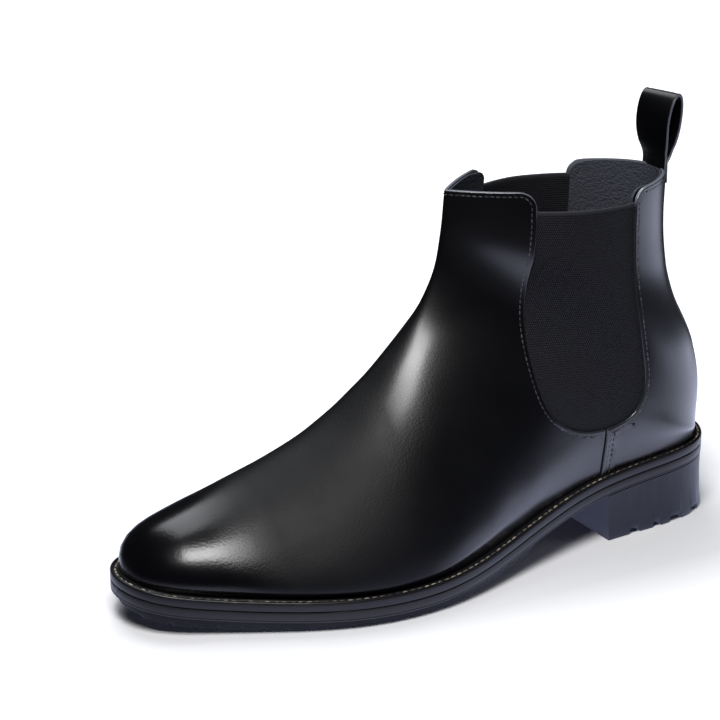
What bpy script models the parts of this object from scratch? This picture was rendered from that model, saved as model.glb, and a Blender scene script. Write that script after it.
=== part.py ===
"""Left chelsea boot: welted sole, stacked heel, leather upper, elastic gores and a pull tab.

Lengths are millimetres until a mesh is made, which turns them into metres. A point of the
boot is (x, t, z): x towards the wearer's left (lateral), t forward from the back of the
heel, z up from the ground. In the finished frame the toe points to -Y.
"""
import math

import bmesh
import bpy
import numpy as np

MM = 0.001

# ---- driving dimensions ---------------------------------------------------------------
GAP = 0.3                    # clearance between touching pieces
LEATHER = 1.5                # thickness of vamp, quarters
LINING = 1.0
INNER_PLY = 1.2              # gore, toe puff and heel counter lie under the leather
WELT_OVERHANG = 4.6          # the welt and midsole stand out past the upper
MIDSOLE = 5.0
WELT = 4.4
RUBBER = 5.0
RUBBER_INSET = 3.6
RUBBER_START = 118.0
RUBBER_GROOVE = 1.8
HEEL_BREAST = 72.0
HEEL_FLARE = 3.0
FRONT_TOP = 172.0            # topline heights: front panel, back panel
BACK_TOP = 166.0
GORE_TOP_FRONT = 163.0
GORE_TOP_REAR = 160.0
GORE_MARGIN = 7.0            # the gore runs this far under the leather
SIDE_SEAM = 75.0
BACK_STRIP_WIDTH = 16.0
BACK_STRIP_FOOT = 76.0
TAB_WIDTH = 19.0
TAB_HEIGHT = 33.0
TAB_DEPTH = 11.0
TAB_THICKNESS = 1.6
TAB_PIVOT = (26.5, 168.6)    # (t, z) of the pull tab's hinge
LINING_SEAM = 95.0           # vamp lining and quarter lining meet here, under the gore
TOE_PUFF_REAR = 252.0
TOE_PUFF_TOP = 60.0
COUNTER_FRONT = 68.0
COUNTER_TOP = 84.0
TOP_CORNER = 7.0             # radius where a topline turns down to the gore
WELT_TUCK = 3.2              # the welt reaches this far under the upper
FILLER_INSET = 3.9           # cork and seat board lie inside the welt
CORK_HEIGHT = 3.2
SEAT_BOARD = 1.7
SEAT_BOARD_FRONT = 149.0
SHANK_ENDS = (48.0, 146.0)
SHANK_HALF_WIDTH = 7.0
SHANK_THICKNESS = 1.2
INSOLE = 2.5
PAD = 2.0
SOCK = 1.0
HEEL_GROOVES = (54.0, 42.0, 29.0)
HEEL_GROOVE_WIDTH = 6.0
HEEL_GROOVE_DEPTH = 3.0
SMOOTH_ANGLE = 35.0          # edges sharper than this stay sharp, degrees
NAIL_RADIUS = 1.3
NAIL_HEAD_RADIUS = 2.6
NAIL_HEAD = 1.2
NAIL_LENGTH = 16.0

# Outline of the upper where it meets the welt, (x, t), toe tip to heel on each side.
TOE_TIP = (-5.0, 300.0)
HEEL_BACK = (0.0, 5.0)
LATERAL_OUTLINE = [(12, 296), (26, 276), (40, 247), (51, 220), (55.5, 195), (54, 168),
                   (47, 140), (38.5, 110), (32, 76), (30, 42), (21, 14)]
MEDIAL_OUTLINE = [(-20.5, 14), (-29, 42), (-28.5, 76), (-26, 110), (-29.5, 145), (-35, 180),
                  (-38, 210), (-37, 242), (-31, 271), (-21, 291)]
# Underside of the midsole, z against t: heel seat, waist, ball, toe spring.
SOLE_LINE = [(-10, 27.5), (0, 27.4), (40, 26.2), (76, 22.8), (102, 18.2), (122, 13.6),
             (142, 9.0), (164, 5.6), (190, 4.3), (220, 4.5), (250, 5.8), (280, 8.5),
             (300, 11.6), (312, 14.0)]
# Side profile of the upper, (t, z): ridge from toe to shin, and the back of the heel.
RIDGE = [(300, 21.6), (299, 29), (293, 37), (277, 44.5), (254, 52), (230, 60.5), (206, 72),
         (186, 87), (169, 103), (155, 119.5), (147, 135), (143.5, 152), (141.5, 172),
         (141, 182)]
BACK = [(5, 37.4), (4, 46), (3.6, 58), (5.5, 72), (11.3, 88), (18, 101), (22.8, 114),
        (25.6, 130), (26.5, 148), (26, 164), (25.5, 182)]
RIDGE_SWING = [(120, 0), (170, 0.5), (240, -1.5), (300, -5)]   # x of the ridge against t
# Visible window of the gore, (t, z), from its front top corner round to its rear one.
GORE_WINDOW = [(107.5, 190), (108.5, 163), (109.5, 140), (111, 118), (111.5, 98), (110, 82),
               (105, 70), (96.5, 62.5), (86, 58), (75, 57), (65, 59), (58, 64), (54.5, 73),
               (55.5, 90), (57.5, 110), (58, 135), (57.5, 160), (57, 190)]
FAN_MIDDLE = (0.60, 0.60)     # station in the waist, and the share of the ridge it reaches
HEEL_CORNER = 0.785          # share of the ridge that the heel corner's section reaches
# Section shape against station: 0 toe tip, 1 heel corner, 2 top of the shaft.
BULGE = [(0, 0), (0.06, 1.4), (0.15, 3), (0.3, 3.7), (0.5, 3.3), (0.65, 5.2), (0.8, 5.5),
         (2, 5.5)]
ANKLE = [(0.6, 37.5), (0.8, 35.5), (1, 35.5), (1.25, 34.5), (1.5, 33), (2, 31.5)]
WIDEST = [(0, 0.22), (0.25, 0.10), (0.5, 0.12), (0.75, 0.36), (1, 0.34), (1.5, 0.46),
          (2, 0.45)]
SHOULDER = [(0, 0.60), (0.25, 0.24), (0.5, 0.36), (0.75, 0.50), (1, 0.35), (1.5, 0.38),
            (2, 0.36)]
CROWN = [(0, 0.62), (0.25, 0.48), (0.5, 0.50), (0.75, 0.37), (1, 0.27), (1.5, 0.34),
         (2, 0.30)]
CREASE = [(0, 0), (0.25, 0), (0.5, 0.05), (0.75, 0.19), (1, 0.49), (1.5, 0.85), (2, 1)]
WALL_LEAN = [(0, 0.25), (0.25, 0.20), (0.5, 0.18), (0.75, 0.20), (1, 0.15), (1.5, 0),
             (2, 0)]


# ---- curves ---------------------------------------------------------------------------
def cubic(knots, values, closed=False):
    """Smooth curve through values at knots, as a function; closed runs round a loop."""
    k = np.asarray(knots, float)
    v = np.asarray(values, float)
    h = np.diff(k)
    count = len(k) - 1 if closed else len(k)
    system = np.eye(count)
    right = np.zeros((count,) + v.shape[1:])
    rows = range(count) if closed else range(1, count - 1)
    for i in rows:
        before = h[i - 1]
        after = h[i]
        system[i, i] = 2 * (before + after)
        system[i, (i - 1) % count] = before
        system[i, (i + 1) % count] = after
        rise = (v[i + 1] - v[i]) / after
        fall = (v[i] - v[(i - 1) % count]) / before
        right[i] = 6 * (rise - fall)
    bend = np.linalg.solve(system, right)
    if closed:
        bend = np.concatenate([bend, bend[:1]])

    def curve(u):
        u = np.atleast_1d(np.asarray(u, float))
        if closed:
            u = k[0] + np.mod(u - k[0], k[-1] - k[0])
        i = np.clip(np.searchsorted(k, u, side="right") - 1, 0, len(k) - 2)
        shape = (-1,) + (1,) * (v.ndim - 1)
        step = h[i].reshape(shape)
        a = (k[i + 1] - u).reshape(shape) / step
        b = 1 - a
        cube = ((a ** 3 - a) * bend[i] + (b ** 3 - b) * bend[i + 1]) * step ** 2 / 6
        return a * v[i] + b * v[i + 1] + cube

    return curve


def profile(points):
    """Curve through (knot, value) pairs."""
    knots, values = zip(*points)
    return cubic(knots, values)


def path_curve(points, closed=False):
    """Curve through plan or side points, run by distance, and the distance of each point."""
    p = np.asarray(points, float)
    if closed:
        p = np.vstack([p, p[:1]])
    run = np.r_[0, np.cumsum(np.linalg.norm(np.diff(p, axis=0), axis=1))]
    return cubic(run, p, closed), run


outline, outline_run = path_curve(
    [TOE_TIP] + LATERAL_OUTLINE + [HEEL_BACK] + MEDIAL_OUTLINE, closed=True)
HEEL_RUN = outline_run[len(LATERAL_OUTLINE) + 1]
LOOP_RUN = outline_run[-1]
ridge_curve, ridge_run = path_curve(RIDGE)
back_curve, back_run = path_curve(BACK)
sole_z = profile(SOLE_LINE)
ridge_x = profile(RIDGE_SWING)
bulge = profile(BULGE)
ankle = profile(ANKLE)
widest = profile(WIDEST)
shoulder = profile(SHOULDER)
crown = profile(CROWN)
crease = profile(CREASE)
wall_lean = profile(WALL_LEAN)


def ridge(share):
    return ridge_curve(np.asarray(share) * ridge_run[-1])


def back(share):
    return back_curve(np.asarray(share) * back_run[-1])


def feather_z(t):
    """Height where the upper meets the welt."""
    return sole_z(t) + MIDSOLE + WELT + 2 * GAP


def side_outline(u, side):
    """Outline of one side, u from 0 at the toe tip to 1 at the heel back."""
    u = np.asarray(u, float)
    if side > 0:
        return outline(u * HEEL_RUN)
    return outline(LOOP_RUN - u * (LOOP_RUN - HEEL_RUN))


def ridge_share(t):
    """How far along the ridge the point over t is."""
    shares = np.linspace(0, 1, 1001)
    return np.interp(-np.asarray(t), -ridge(shares)[:, 0], shares)


# ---- the surface of the upper ---------------------------------------------------------
def section_feet(s, side):
    """Lower end of each section: on the outline up to the heel corner, then up the back."""
    plan = side_outline(np.clip(s, 0, 1), side)
    feet = np.stack([plan[:, 0], plan[:, 1], feather_z(plan[:, 1])], 1)
    up = back(np.clip(s - 1, 0, 1))
    raised = s > 1
    feet[raised] = np.stack([np.zeros(raised.sum()), up[raised, 0], up[raised, 1]], 1)
    return feet


def head_share(s):
    """Share of the ridge against station: upright sections ahead, a fan behind."""
    upright = np.array([0.10, 0.18, 0.26])
    middle = (side_outline(upright, 1)[:, 1] + side_outline(upright, -1)[:, 1]) / 2
    knots = np.r_[0, upright, FAN_MIDDLE[0], 1, 1.5, 2]
    shares = np.r_[0, ridge_share(middle), FAN_MIDDLE[1], HEEL_CORNER,
                   (1 + HEEL_CORNER) / 2, 1]
    return cubic(knots, shares)(s)


def section_heads(s):
    """Upper end of each section, on the ridge."""
    r = ridge(head_share(s))
    return np.stack([ridge_x(r[:, 0]), r[:, 0], r[:, 1]], 1)


def bezier(a, b, c, d, u):
    return (1 - u) ** 3 * a + 3 * (1 - u) ** 2 * u * b + 3 * (1 - u) * u * u * c + u ** 3 * d


def last_surface(s, v, side):
    """Outer face of the upper: sections s, and v from the feather edge or back to the ridge."""
    s = np.asarray(s, float)
    feet = section_feet(s, side)
    heads = section_heads(s)
    step = 1e-4
    here = side_outline(np.clip(s, 0, 1), side)
    forward = side_outline(np.clip(s, 0, 1) - step, side) - here
    run = forward / np.linalg.norm(forward, axis=1)[:, None]
    out_run = np.where(s > 1, 1.0, run[:, 0] * side)
    fore_run = np.where(s > 1, 0.0, np.abs(run[:, 1]))
    rise = (heads - feet)[:, 1:]
    length = np.maximum(np.linalg.norm(rise, axis=1), 1e-6)
    level = rise[:, 0] / length
    climb = rise[:, 1] / length
    foot_width = (feet[:, 0] - heads[:, 0]) * side
    out = out_run * np.clip(level, 0, 1) + wall_lean(s) * climb * fore_run
    along = fore_run + 1e-6
    size = np.hypot(out, along)
    out = out / size
    along = along / size
    blend = np.clip((s - 0.68) / 0.22, 0, 1)
    blend = blend * blend * (3 - 2 * blend)
    width = (1 - blend) * (foot_width + bulge(s)) + blend * ankle(s)
    mid = widest(s) * length
    zero = 0 * length
    handle = 0.55 * (np.abs(width - foot_width) * np.abs(out) + mid * along)
    foot = np.stack([foot_width, zero], 1)
    foot_handle = foot + handle[:, None] * np.stack([out, along], 1)
    belly = np.stack([width, mid], 1)
    belly_low = belly - np.stack([zero, 0.5 * mid], 1)
    belly_high = belly + np.stack([zero, shoulder(s) * (length - mid)], 1)
    head = np.stack([zero, length], 1)
    reach = crown(s) * width
    head_handle = head + np.stack([reach, -0.9 * crease(s) * reach], 1)
    lower_share = 0.35
    rows = []
    for share in v:
        if share <= lower_share:
            q = bezier(foot, foot_handle, belly_low, belly, share / lower_share)
        else:
            u = (share - lower_share) / (1 - lower_share)
            q = bezier(belly, belly_high, head_handle, head, u)
        fraction = q[:, 1] / length
        point = feet + fraction[:, None] * (heads - feet)
        point[:, 0] = heads[:, 0] + side * q[:, 0]
        rows.append(point)
    return np.stack(rows, 1)


def stations():
    """Section stations: closer together round the toe and the heel."""
    toe = [0.0, 0.015, 0.035, 0.06, 0.09]
    foot = np.arange(0.125, 0.86, 0.0455)
    heel = np.linspace(0.87, 1.0, 6)
    shaft = np.linspace(1, 2, 13)[1:]
    return np.r_[toe, foot, heel, shaft]


class Surface:
    """Triangles of the upper's outer face, with a normal at each point."""

    def __init__(self):
        s = stations()
        v = np.linspace(0, 1, 11)
        index = {}
        points = []
        triangles = []
        for side in (1, -1):
            grid = last_surface(s, v, side)
            ids = np.zeros(grid.shape[:2], int)
            for i, row in enumerate(grid):
                for j, point in enumerate(row):
                    key = tuple(np.round(point, 2) + 0.0)
                    if key not in index:
                        index[key] = len(points)
                        points.append(point)
                    ids[i, j] = index[key]
            for i in range(len(s) - 1):
                for j in range(len(v) - 1):
                    a, b = ids[i, j], ids[i + 1, j]
                    c, d = ids[i + 1, j + 1], ids[i, j + 1]
                    for triangle in ((a, b, c), (a, c, d)):
                        if len(set(triangle)) == 3:
                            triangles.append(triangle if side > 0 else triangle[::-1])
        self.points = np.array(points)
        self.triangles = np.array(triangles)
        a, b, c = (self.points[self.triangles[:, i]] for i in range(3))
        face = np.cross(b - a, c - a)
        normals = np.zeros_like(self.points)
        for i in range(3):
            np.add.at(normals, self.triangles[:, i], face)
        edge = np.abs(self.points[:, 2] - feather_z(self.points[:, 1])) < 0.01
        for _ in range(5):
            normals = normals / np.maximum(np.linalg.norm(normals, axis=1)[:, None], 1e-9)
            normals[edge, 2] = 0
            spread = normals * 2
            for i in range(3):
                for j in (1, 2):
                    other = self.triangles[:, (i + j) % 3]
                    np.add.at(spread, self.triangles[:, i], normals[other] / 3)
            normals = spread
        normals[edge, 2] = 0
        size = np.linalg.norm(normals, axis=1)[:, None]
        self.normals = normals / np.maximum(size, 1e-9)
        middle = np.array([0, 90, 90])
        if np.mean(np.sum((self.points - middle) * self.normals, 1)) < 0:
            self.normals = -self.normals
            self.triangles = self.triangles[:, ::-1]

    def at(self, t, z, side):
        """Point and normal of the surface where a line along x at (t, z) leaves one side."""
        a, b, c = (self.points[self.triangles[:, i]] for i in range(3))
        ab = b[:, 1:] - a[:, 1:]
        ac = c[:, 1:] - a[:, 1:]
        ap = np.array([t, z]) - a[:, 1:]
        area = ab[:, 0] * ac[:, 1] - ab[:, 1] * ac[:, 0]
        area = np.where(np.abs(area) < 1e-9, 1e-9, area)
        q = (ap[:, 0] * ac[:, 1] - ap[:, 1] * ac[:, 0]) / area
        r = (ab[:, 0] * ap[:, 1] - ab[:, 1] * ap[:, 0]) / area
        slack = 1e-4
        inside = (q > -slack) & (r > -slack) & (q + r < 1 + slack)
        x = a[:, 0] + q * (b[:, 0] - a[:, 0]) + r * (c[:, 0] - a[:, 0])
        hits = np.flatnonzero(inside & (x * side > 0))
        best = hits[np.argmax(x[hits] * side)]
        weights = np.array([1 - q[best] - r[best], q[best], r[best]])
        corners = self.triangles[best]
        normal = weights @ self.normals[corners]
        return weights @ self.points[corners], normal / np.linalg.norm(normal)


# ---- regions of the upper, as distances that are positive inside ----------------------
def polygon_distance(t, z, polygon):
    """Distance to a closed outline in the side view, positive inside it."""
    inside = False
    nearest = 1e9
    for (t1, z1), (t2, z2) in zip(polygon, np.roll(polygon, -1, axis=0)):
        dt, dz = t2 - t1, z2 - z1
        share = ((t - t1) * dt + (z - z1) * dz) / (dt * dt + dz * dz)
        share = min(1.0, max(0.0, share))
        nearest = min(nearest, math.hypot(t - t1 - share * dt, z - z1 - share * dz))
        if (z1 > z) != (z2 > z) and t < t1 + (z - z1) * dt / dz:
            inside = not inside
    return nearest if inside else -nearest


window_curve, window_run = path_curve(GORE_WINDOW)
WINDOW = window_curve(np.linspace(0, window_run[-1], 40))


def gore_distance(p):
    return polygon_distance(p[1], p[2], WINDOW)


def rounded_top(p, height, edge, direction):
    """Below a topline that rounds down towards the gore's edge."""
    radius = TOP_CORNER
    inset = (p[1] - edge) * direction
    drop = radius - math.sqrt(max(0.0, radius ** 2 - max(0.0, radius - inset) ** 2))
    return height - min(drop, radius) - p[2]


def in_vamp(p):
    top = rounded_top(p, FRONT_TOP, 108.5, 1)
    return min(p[1] - SIDE_SEAM - GAP / 2, -gore_distance(p), top)


def in_quarter(p, side):
    top = rounded_top(p, BACK_TOP, 57.5, -1)
    seam = p[0] * side - GAP / 2
    return min(SIDE_SEAM - GAP / 2 - p[1], -gore_distance(p), top, seam)


def in_gore(p, side):
    slope = (GORE_TOP_FRONT - GORE_TOP_REAR) / 51.0
    top = GORE_TOP_REAR + slope * (p[1] - 57.5)
    return min(gore_distance(p) + GORE_MARGIN, top - p[2], p[0] * side)


def in_vamp_lining(p):
    top = rounded_top(p, FRONT_TOP - 1, 109.5, 1)
    return min(p[1] - LINING_SEAM - GAP / 2, -gore_distance(p) - 1.0, top)


def in_quarter_lining(p):
    top = rounded_top(p, BACK_TOP - 1, 56.5, -1)
    return min(LINING_SEAM - GAP / 2 - p[1], -gore_distance(p) - 1.0, top)


def in_toe_puff(p):
    return min(p[1] - TOE_PUFF_REAR - 0.006 * p[0] ** 2, TOE_PUFF_TOP - p[2])


def in_heel_counter(p):
    clear_of_gore = -gore_distance(p) - GORE_MARGIN - 1.0
    return min(COUNTER_FRONT - p[1], COUNTER_TOP - p[2] - 0.1 * p[1], clear_of_gore)


def in_back_strip(p):
    half = BACK_STRIP_WIDTH / 2
    return min(half - abs(p[0]), 60.0 - p[1], BACK_TOP + 0.5 - p[2], p[2] - BACK_STRIP_FOOT)


# ---- meshes ---------------------------------------------------------------------------
def clip(surface, inside):
    """Part of the surface where inside(point) is positive: points, normals, triangles."""
    snap = 0.6
    level = np.array([inside(p) for p in surface.points])
    level[np.abs(level) < snap] = 0.0
    points = list(surface.points)
    normals = list(surface.normals)
    cuts = {}

    def crossing(a, b):
        key = (min(a, b), max(a, b))
        if key not in cuts:
            low, high = (a, b) if level[a] < 0 else (b, a)
            share_low, share_high = 0.0, 1.0
            for _ in range(24):
                share = (share_low + share_high) / 2
                p = surface.points[low] * (1 - share) + surface.points[high] * share
                if inside(p) > 0:
                    share_high = share
                else:
                    share_low = share
            share = min(0.94, max(0.06, share_high))
            cuts[key] = len(points)
            points.append(surface.points[low] * (1 - share) + surface.points[high] * share)
            normals.append(surface.normals[low] * (1 - share) + surface.normals[high] * share)
        return cuts[key]

    kept = []
    for triangle in surface.triangles:
        if max(level[triangle]) <= 0:
            continue
        ring = []
        for a, b in zip(triangle, np.roll(triangle, -1)):
            if level[a] >= 0:
                ring.append(int(a))
            if level[a] * level[b] < 0:
                ring.append(crossing(int(a), int(b)))
        for i in range(1, len(ring) - 1):
            kept.append((ring[0], ring[i], ring[i + 1]))
    return np.array(points), np.array(normals), kept


def largest_patch(triangles):
    """The most triangles that hang together edge to edge."""
    neighbours = {}
    for number, (a, b, c) in enumerate(triangles):
        for edge in ((a, b), (b, c), (c, a)):
            neighbours.setdefault(frozenset(edge), []).append(number)
    touching = [[] for _ in triangles]
    for pair in neighbours.values():
        for number in pair:
            touching[number].extend(pair)
    best = []
    seen = set()
    for start in range(len(triangles)):
        if start in seen:
            continue
        patch = {start}
        edge_front = [start]
        while edge_front:
            for other in touching[edge_front.pop()]:
                if other not in patch:
                    patch.add(other)
                    edge_front.append(other)
        seen |= patch
        if len(patch) > len(best):
            best = patch
    return [triangles[i] for i in sorted(best)]


def shell(name, surface, inside, outer, inner):
    """Closed sheet between two depths under the surface, where inside is positive."""
    points, normals, triangles = clip(surface, inside)
    triangles = largest_patch(triangles)
    used = sorted({i for triangle in triangles for i in triangle})
    place = {old: new for new, old in enumerate(used)}
    count = len(used)
    base = points[used]
    normal = normals[used] / np.linalg.norm(normals[used], axis=1)[:, None]
    vertices = np.vstack([base + outer * normal, base + inner * normal])
    faces = []
    edges = {}
    for triangle in triangles:
        a, b, c = (place[i] for i in triangle)
        faces.append((a, b, c))
        faces.append((c + count, b + count, a + count))
        for edge in ((a, b), (b, c), (c, a)):
            edges[edge] = edge[::-1] not in edges
            if edge[::-1] in edges:
                edges[edge[::-1]] = False
    for (a, b), lone in edges.items():
        if lone:
            faces.append((b, a, a + count))
            faces.append((b, a + count, b + count))
    return add_mesh(name, vertices, faces)


def add_mesh(name, points, faces):
    """Object from points in the boot's (x, t, z) millimetres."""
    p = np.asarray(points, float) * MM
    p[:, 1] = -p[:, 1]
    mesh = bpy.data.meshes.new(name)
    mesh.from_pydata([tuple(q) for q in p], [], [tuple(f) for f in faces])
    shape = bmesh.new()
    shape.from_mesh(mesh)
    bmesh.ops.triangulate(shape, faces=[f for f in shape.faces if len(f.verts) > 3])
    bmesh.ops.recalc_face_normals(shape, faces=shape.faces)
    shape.to_mesh(mesh)
    shape.free()
    mesh.shade_smooth()
    mesh.set_sharp_from_angle(angle=math.radians(SMOOTH_ANGLE))
    item = bpy.data.objects.new(name, mesh)
    bpy.context.scene.collection.objects.link(item)
    return item


def offset_outline(u, distance):
    """Outline of the upper moved outwards by a distance."""
    here = outline(u)
    ahead = outline(u + 0.05) - outline(u - 0.05)
    out = np.stack([-ahead[:, 1], ahead[:, 0]], 1)
    out = out / np.linalg.norm(out, axis=1)[:, None]
    if np.sum((here - here.mean(axis=0)) * out) < 0:
        out = -out
    reach = distance(here[:, 1]) if callable(distance) else distance
    return here + out * np.reshape(reach, (-1, 1))


def overhang(t):
    """Welt's width past the upper: wide round the forepart, narrower at the heel."""
    return WELT_OVERHANG - 1.4 * np.clip((110 - t) / 60, 0, 1)


def edge_x(t, distance):
    """Medial and lateral x of the moved outline at each t."""
    u = np.linspace(0, LOOP_RUN, 1600, endpoint=False)
    ring = offset_outline(u, distance)
    toe = int(np.argmax(ring[:, 1]))
    heel = int(np.argmin(ring[:, 1]))
    ring = np.roll(ring, -toe, axis=0)
    heel = (heel - toe) % len(ring)
    lateral = ring[:heel + 1][::-1]
    medial = np.vstack([ring[heel:], ring[:1]])
    return (np.interp(t, medial[:, 1], medial[:, 0]),
            np.interp(t, lateral[:, 1], lateral[:, 0]),
            ring[heel, 1], ring[0, 1])


def plate_stations(low, high, extra=()):
    """Stations along t, closer at both ends of a rounded plate."""
    a = np.linspace(0, math.pi, 30)
    span = (low + high) / 2 - (high - low) / 2 * np.cos(a)
    t = np.unique(np.round(np.r_[span[1:-1], extra], 3))
    keep = [t[0]]
    fixed = {round(e, 3) for e in extra}
    for value in t[1:]:
        if value - keep[-1] > 1.6 or value in fixed:
            keep.append(value)
    return np.array(keep)


def plate(name, distance, bottom, top, start=None, end=None, extra=(), lower=None):
    """Flat-lying piece between two heights, from side to side of the moved outline."""
    _, _, heel, toe = edge_x(np.zeros(1), distance)
    low = heel if start is None else start
    high = toe if end is None else end
    t = plate_stations(low, high, extra)
    if start is not None:
        t = np.unique(np.r_[start, t[t > start + 1.0]])
    else:
        t = np.r_[low + 0.15, t[t > low + 0.5]]
    if end is not None:
        t = np.unique(np.r_[t[t < end - 1.0], end])
    else:
        t = np.r_[t[t < high - 0.5], high - 0.15]
    medial, lateral, _, _ = edge_x(t, distance)
    tops = np.stack([np.r_[medial, lateral], np.r_[t, t], np.tile(top(t), 2)], 1)
    if lower is None:
        lows = np.stack([np.r_[medial, lateral], np.r_[t, t], np.tile(bottom(t), 2)], 1)
    else:
        lows = lower(t)
    n = len(t)
    points = np.vstack([tops, lows])
    m, l, bm, bl = 0, n, 2 * n, 3 * n
    faces = [(m, l, bl, bm), (m + n - 1, bm + n - 1, bl + n - 1, l + n - 1)]
    for i in range(n - 1):
        faces.append((m + i, m + i + 1, l + i + 1, l + i))
        faces.append((bm + i, bl + i, bl + i + 1, bm + i + 1))
        faces.append((m + i, bm + i, bm + i + 1, m + i + 1))
        faces.append((l + i, l + i + 1, bl + i + 1, bl + i))
    return add_mesh(name, points, faces)


def ring_piece(name, inner, outer, low, high, count=76):
    """Band that follows the outline all the way round, between two heights."""
    u = np.linspace(0, LOOP_RUN, count, endpoint=False)
    inside = offset_outline(u, inner)
    outside = offset_outline(u, outer)
    rows = []
    for edge, height in ((outside, high), (inside, high), (inside, low), (outside, low)):
        z = sole_z(edge[:, 1]) + height
        rows.append(np.column_stack([edge, z]))
    faces = []
    for i in range(count):
        j = (i + 1) % count
        for k in range(4):
            m = (k + 1) % 4
            faces.append((k * count + i, m * count + i, m * count + j, k * count + j))
    return add_mesh(name, np.vstack(rows), faces)


def thread(name, centres, normals, width=0.8, height=0.55, lift=1.35, closed=False):
    """Sewn thread: a thin band that runs along points just over a surface."""
    p = np.asarray(centres)
    n = np.asarray(normals)
    if closed:
        ahead = np.roll(p, -1, axis=0) - np.roll(p, 1, axis=0)
    else:
        ahead = np.gradient(p, axis=0)
    across = np.cross(ahead, n)
    across = across / np.linalg.norm(across, axis=1)[:, None] * width / 2
    rows = [p + n * lift + across, p + n * (lift + height) + across,
            p + n * (lift + height) - across, p + n * lift - across]
    count = len(p)
    faces = []
    for i in range(count if closed else count - 1):
        j = (i + 1) % count
        for k in range(4):
            m = (k + 1) % 4
            faces.append((k * count + i, k * count + j, m * count + j, m * count + i))
    if not closed:
        faces.append((0, count, 2 * count, 3 * count))
        faces.append(tuple(k * count + count - 1 for k in (3, 2, 1, 0)))
    return add_mesh(name, np.vstack(rows), faces)


# ---- pieces of the bottom -------------------------------------------------------------
def above_sole(height):
    return lambda t: sole_z(t) + height


def make_midsole():
    return plate("midsole", overhang, above_sole(0), above_sole(MIDSOLE))


def make_welt():
    base = MIDSOLE + GAP
    return ring_piece("welt", -WELT_TUCK, overhang, base, base + WELT)


def make_welt_stitch():
    u = np.linspace(0, LOOP_RUN, 96, endpoint=False)
    path = offset_outline(u, 2.0)
    top = MIDSOLE + GAP + WELT
    points = np.column_stack([path, sole_z(path[:, 1]) + top])
    up = np.tile([0.0, 0.0, 1.0], (len(u), 1))
    return thread("welt_stitch", points, up, width=1.0, lift=0.35, closed=True)


def groove_edges(starts, width, wall=0.5):
    """t values at the corners of each groove: lip, floor, floor, lip."""
    return [edge for g in starts for edge in (g, g + wall, g + width - wall, g + width)]


def groove_depth(t, starts, width, depth, wall=0.5):
    """How deep the grooves are at each t."""
    total = np.zeros(len(t))
    for g in starts:
        inside = np.minimum(t - g, g + width - t) / wall
        total = np.maximum(total, depth * np.clip(inside, 0, 1))
    return total


def make_rubber_forepart():
    starts = np.arange(RUBBER_START + 10, 286, 9.0)
    width = 3.0

    def distance(t):
        return overhang(t) - RUBBER_INSET

    def bottom(t):
        ground = np.maximum(0.0, sole_z(t) - RUBBER)
        return ground + groove_depth(t, starts, width, RUBBER_GROOVE)

    return plate("rubber_forepart", distance, bottom, above_sole(-GAP), start=RUBBER_START,
                 extra=groove_edges(starts, width))


def make_heel_block():
    """Heel, upright at the breast and flared towards the back, grooved underneath."""
    def distance(t):
        return overhang(t) - 0.8

    _, _, heel, _ = edge_x(np.zeros(1), distance)

    def lower(t):
        slide = np.clip((HEEL_BREAST - t) / (HEEL_BREAST - heel), 0, 1)
        moved = t - HEEL_FLARE * slide ** 2 - 2.0 * (1 - slide)
        medial, lateral, _, _ = edge_x(t, distance)
        tuck = 1.2
        z = groove_depth(t, HEEL_GROOVES, HEEL_GROOVE_WIDTH, HEEL_GROOVE_DEPTH)
        return np.column_stack([np.r_[medial + tuck, lateral - tuck], np.r_[moved, moved],
                                np.r_[z, z]])

    return plate("heel_block", distance, None, above_sole(-GAP), end=HEEL_BREAST,
                 extra=groove_edges(HEEL_GROOVES, HEEL_GROOVE_WIDTH), lower=lower)


def make_fillers():
    """Cork under the ball, a board under the heel seat, and the shank that bridges them."""
    base = MIDSOLE + GAP
    plate("cork_filler", -FILLER_INSET, above_sole(base), above_sole(base + CORK_HEIGHT),
          start=SEAT_BOARD_FRONT + 1.0)
    plate("heel_seat_board", -FILLER_INSET, above_sole(base), above_sole(base + SEAT_BOARD),
          end=SEAT_BOARD_FRONT)
    t = np.linspace(*SHANK_ENDS, 12)
    half = SHANK_HALF_WIDTH
    low = sole_z(t) + base + SEAT_BOARD + GAP
    high = low + SHANK_THICKNESS
    rows = []
    for x, z in ((-half, high), (half, high), (half, low), (-half, low)):
        rows.append(np.column_stack([np.full(len(t), x), t, z]))
    n = len(t)
    faces = [(0, n, 2 * n, 3 * n), (n - 1, 4 * n - 1, 3 * n - 1, 2 * n - 1)]
    for i in range(n - 1):
        for k in range(4):
            m = (k + 1) % 4
            faces.append((k * n + i, m * n + i, m * n + i + 1, k * n + i + 1))
    add_mesh("shank", np.vstack(rows), faces)


def make_insole_pieces():
    """Insole board, foam heel pad and the leather sock that covers both."""
    edge = -(LEATHER + INNER_PLY + LINING + 3 * GAP) - 2.0
    board_low = MIDSOLE + WELT + 2 * GAP - 0.9
    board_high = board_low + INSOLE
    plate("insole_board", edge, above_sole(board_low), above_sole(board_high))
    pad_low = board_high + GAP
    plate("heel_pad", edge - 3.0, above_sole(pad_low), above_sole(pad_low + PAD),
          end=HEEL_BREAST)

    def sock_low(t):
        over_pad = np.clip((92 - t) / 14, 0, 1)
        rise = over_pad * over_pad * (3 - 2 * over_pad)
        return sole_z(t) + pad_low + (PAD + GAP) * rise

    def sock_high(t):
        return sock_low(t) + SOCK

    plate("sock_liner", edge - 0.5, sock_low, sock_high, extra=(78.0, 82.0, 88.0, 92.0))


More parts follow.
